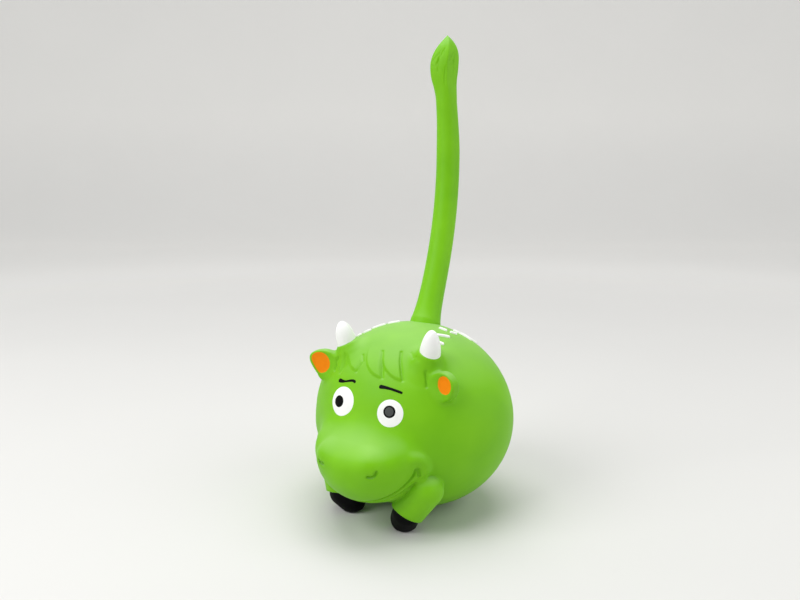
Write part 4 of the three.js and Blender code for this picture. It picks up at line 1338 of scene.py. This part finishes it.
class TOY_OT_tail(bpy.types.Operator):
    """Build the tail in two pieces, and the tuft on its end"""

    bl_idname = "toy.tail"
    bl_label = "Tail"

    setback = 11.5 * MM
    sweep = 24.4 * MM
    sweep_height = 88 * MM
    flare = 1.6 * MM
    flare_height = 6 * MM
    root = -9 * MM
    seam = 46 * MM
    neck = 116 * MM
    tip = 150 * MM
    stem_taper = 0.05
    neck_run = 28 * MM
    tip_curve = 2.3
    least_radius = 0.1 * MM
    tuft_waist = 134.5 * MM
    tuft_lean = 1.8 * MM
    tip_lean = 0.2 * MM
    foot_lean = 0.7 * MM
    lean_way = np.array([-0.86, -0.5, 0])
    lean_span = (0, 0.4)
    return_span = (0.5, 0.97)
    bend_reach = 19 * MM
    ring_step = 0.6 * MM
    ring_sides = 112
    tuft_faces = 5
    tuft_ridge = math.radians(-48)
    tuft_flat = 0.65
    tuft_flat_span = (0.02, 0.3)
    tuft_face_width = 9.8 * MM
    groove_depth = 0.05
    groove_width = 0.45 * MM
    grooves = (
        ((0.36, 0.53), (0.75, 0.77)),
        ((0.13, 0.6), (0.46, 0.72)),
        ((0.84, 0.25), (0.95, 0.5)),
        ((0.48, 0.44), (0.47, 0.69)),
    )

    def execute(self, context):
        sizes, colours = context.scene.toy_sizes, context.scene.toy_colours
        latex = latex_of(colours)
        lower = self.length_of_tail(sizes, self.root, self.seam)
        piece = add_piece("latex_tail_lower", lower, latex)
        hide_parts("tail_root", "tail_lower", "tail_lower_filling")
        self.bend(piece, "tail_nod", "crown", "lower_tail")
        upper = self.length_of_tail(sizes, self.seam, self.tip)
        piece = add_piece("latex_tail_upper", upper, latex)
        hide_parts("tail_upper", "tail_upper_filling", "tail_tuft")
        self.bend(piece, "tail_sway", "lower_tail", "upper_tail")
        return {"FINISHED"}

    def centre(self, heights):
        """Centre line of the tail at heights above its foot."""
        foot = BALL_MIDDLE[2] + BALL_RADII[2] * math.sqrt(1 - (self.setback / BALL_RADII[1]) ** 2)
        away = np.minimum(heights, self.neck) / self.sweep_height - 1
        back = BALL_MIDDLE[1] + self.setback + self.sweep * (1 - away ** 2)
        return np.stack([np.zeros(len(heights)), back, foot + heights], axis=1)

    def lean(self, heights):
        """Sideways lean of the tail at heights: its foot goes left, its tuft goes right and back."""
        share = (heights - self.neck) / (self.tip - self.neck)
        swing = self.tuft_lean * smooth_step(share, *self.lean_span)
        swing = swing - (self.tuft_lean + self.tip_lean) * smooth_step(share, *self.return_span)
        swing = swing - self.foot_lean * np.exp(-np.maximum(heights, 0) / (2 * self.flare_height))
        return np.outer(swing, self.lean_way)

    def radius(self, sizes, heights):
        """Radius of the tail and of its tuft at heights above the foot."""
        narrow = smooth_step(heights, self.neck - self.neck_run, self.neck)
        slender = 1 - self.stem_taper * np.clip(heights / self.neck, 0, 1)
        stem_end = (1 - self.stem_taper) * sizes.tail_width
        stem = slender * sizes.tail_width + narrow * (sizes.neck_width - stem_end)
        swell = smooth_step(heights, self.neck, self.tuft_waist)
        width = stem + swell * (sizes.tuft_width - stem)
        past = np.clip((heights - self.tuft_waist) / (self.tip - self.tuft_waist), 0, 1)
        flare = self.flare * np.exp(-np.maximum(heights, 0) / self.flare_height)
        return np.maximum(width / 2 * (1 - past ** self.tip_curve), self.least_radius) + flare

    def length_of_tail(self, sizes, low, high):
        """Points and faces of the tail between two heights."""
        steps = round((high - low) / self.ring_step)
        heights = np.linspace(low, high, steps + 1)
        points, faces = loft(
            self.centre(heights),
            self.radius(sizes, heights),
            self.ring_sides,
            lambda angles, share: self.strands(angles, low + share * (high - low)),
        )
        return np.array(points) + np.repeat(self.lean(heights), self.ring_sides, axis=0), faces

    def strands(self, angles, height):
        """Share of the radius round a ring: the tuft has flat faces with a few slanting grooves on each."""
        length = self.tip - self.neck
        share = (height - self.neck) / length
        face = 2 * math.pi / self.tuft_faces
        across = ((angles - self.tuft_ridge) % face) / face
        flat = math.cos(face / 2) / np.cos((across - 0.5) * face)
        shape = 1 - self.tuft_flat * smooth_step(share, *self.tuft_flat_span) * (1 - flat)
        spots = np.stack([across * self.tuft_face_width, np.full(len(angles), share * length)], axis=1)
        for line in self.grooves:
            places = np.array(line) * np.array([self.tuft_face_width, length])
            shape = shape - self.groove_depth * np.exp(-(tube(spots, places, 0) / self.groove_width) ** 2)
        return shape

    def bend(self, piece, joint, first, second):
        """Bakes a piece's placement into its mesh."""
        pivot = Vector(next(j for j in frame["joints"] if j["name"] == joint)["pos_m"])
        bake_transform(piece)


class TOY_OT_back_dashes(bpy.types.Operator):
    """Paint the short white dashes on the back"""

    bl_idname = "toy.back_dashes"
    bl_label = "Back Dashes"

    def execute(self, context):
        sizes, colours, skin = toy_of(context)
        for number, ends in enumerate(BACK_DASHES, 1):
            dash = ball_stroke(skin, ends, (sizes.dash_width, sizes.dash_width), sizes.dash_relief)
            piece = add_piece(f"painted_dash_{number}", dash, paint_of(colours, "white"))
            seat_on_body(piece)
        return {"FINISHED"}


class TOY_OT_squeaker(bpy.types.Operator):
    """Turn the squeaker's cup and give its inner pieces their finish"""

    bl_idname = "toy.squeaker"
    bl_label = "Squeaker"

    hole = 1.8 * MM
    wall = 1.3 * MM
    flange = 1.2 * MM
    ring_sides = 72
    edge = 0.25 * MM

    def execute(self, context):
        colours = context.scene.toy_colours
        plastic = moulded_plastic(colours.plastic)
        low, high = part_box("squeaker_cup")
        middle = (low + high) / 2
        rim, edge = high.x - middle.x, self.edge
        profile = (
            (self.hole, low.z + edge), (self.hole + edge, low.z),
            (rim - edge, low.z), (rim, low.z + edge),
            (rim, low.z + self.flange - edge), (rim - edge, low.z + self.flange),
            (CUP_RADIUS, low.z + self.flange), (CUP_RADIUS, high.z - edge),
            (CUP_RADIUS - edge, high.z), (CUP_RADIUS - self.wall, high.z),
            (CUP_RADIUS - self.wall, low.z + self.flange), (self.hole, low.z + self.flange),
        )
        cup = lathe(profile, middle, self.ring_sides)
        piece = add_piece("squeaker_flange_cup", cup, plastic)
        for polygon in piece.data.polygons:
            polygon.use_smooth = False
        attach(piece, "toy_body")
        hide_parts("squeaker_cup")
        for node in ("squeaker_cap", "reed_carrier", "reed_clamp"):
            self.finish_node(node, plastic)
        self.finish_node("squeaker_reed", rolled_brass(colours.brass))
        return {"FINISHED"}

    def finish_node(self, node, material):
        materials = frame["nodes"][node].data.materials
        materials.clear()
        materials.append(material)


class TOY_PT_sidebar(bpy.types.Panel):
    """The toy's operators and settings"""

    bl_idname = "TOY_PT_sidebar"
    bl_label = "Squeaky Dog Toy"
    bl_space_type = "VIEW_3D"
    bl_region_type = "UI"
    bl_category = "Dog Toy"

    def draw(self, context):
        scene = context.scene
        for operator in OPERATORS:
            self.layout.operator(operator.bl_idname)
        for settings in (scene.toy_sizes, scene.toy_colours, scene.toy_stage):
            box = self.layout.box()
            for name in type(settings).__annotations__:
                box.prop(settings, name)


SETTINGS = {"toy_sizes": ToySizes, "toy_colours": ToyColours, "toy_stage": ToyStage}
OPERATORS = (
    TOY_OT_stage,
    TOY_OT_skin,
    TOY_OT_eyes,
    TOY_OT_brows,
    TOY_OT_ear_paint,
    TOY_OT_horns,
    TOY_OT_hooves,
    TOY_OT_tail,
    TOY_OT_back_dashes,
    TOY_OT_squeaker,
)


def register():
    for kind in (*SETTINGS.values(), *OPERATORS, TOY_PT_sidebar):
        bpy.utils.register_class(kind)
    for name, kind in SETTINGS.items():
        setattr(bpy.types.Scene, name, bpy.props.PointerProperty(type=kind))


def unregister():
    for name in SETTINGS:
        delattr(bpy.types.Scene, name)
    for kind in (TOY_PT_sidebar, *reversed(OPERATORS), *SETTINGS.values()):
        bpy.utils.unregister_class(kind)


def main():
    """Registers the add-on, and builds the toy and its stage."""
    register()
    for operator in OPERATORS:
        group, name = operator.bl_idname.split(".")
        getattr(getattr(bpy.ops, group), name)()


if __name__ == "__main__":
    main()
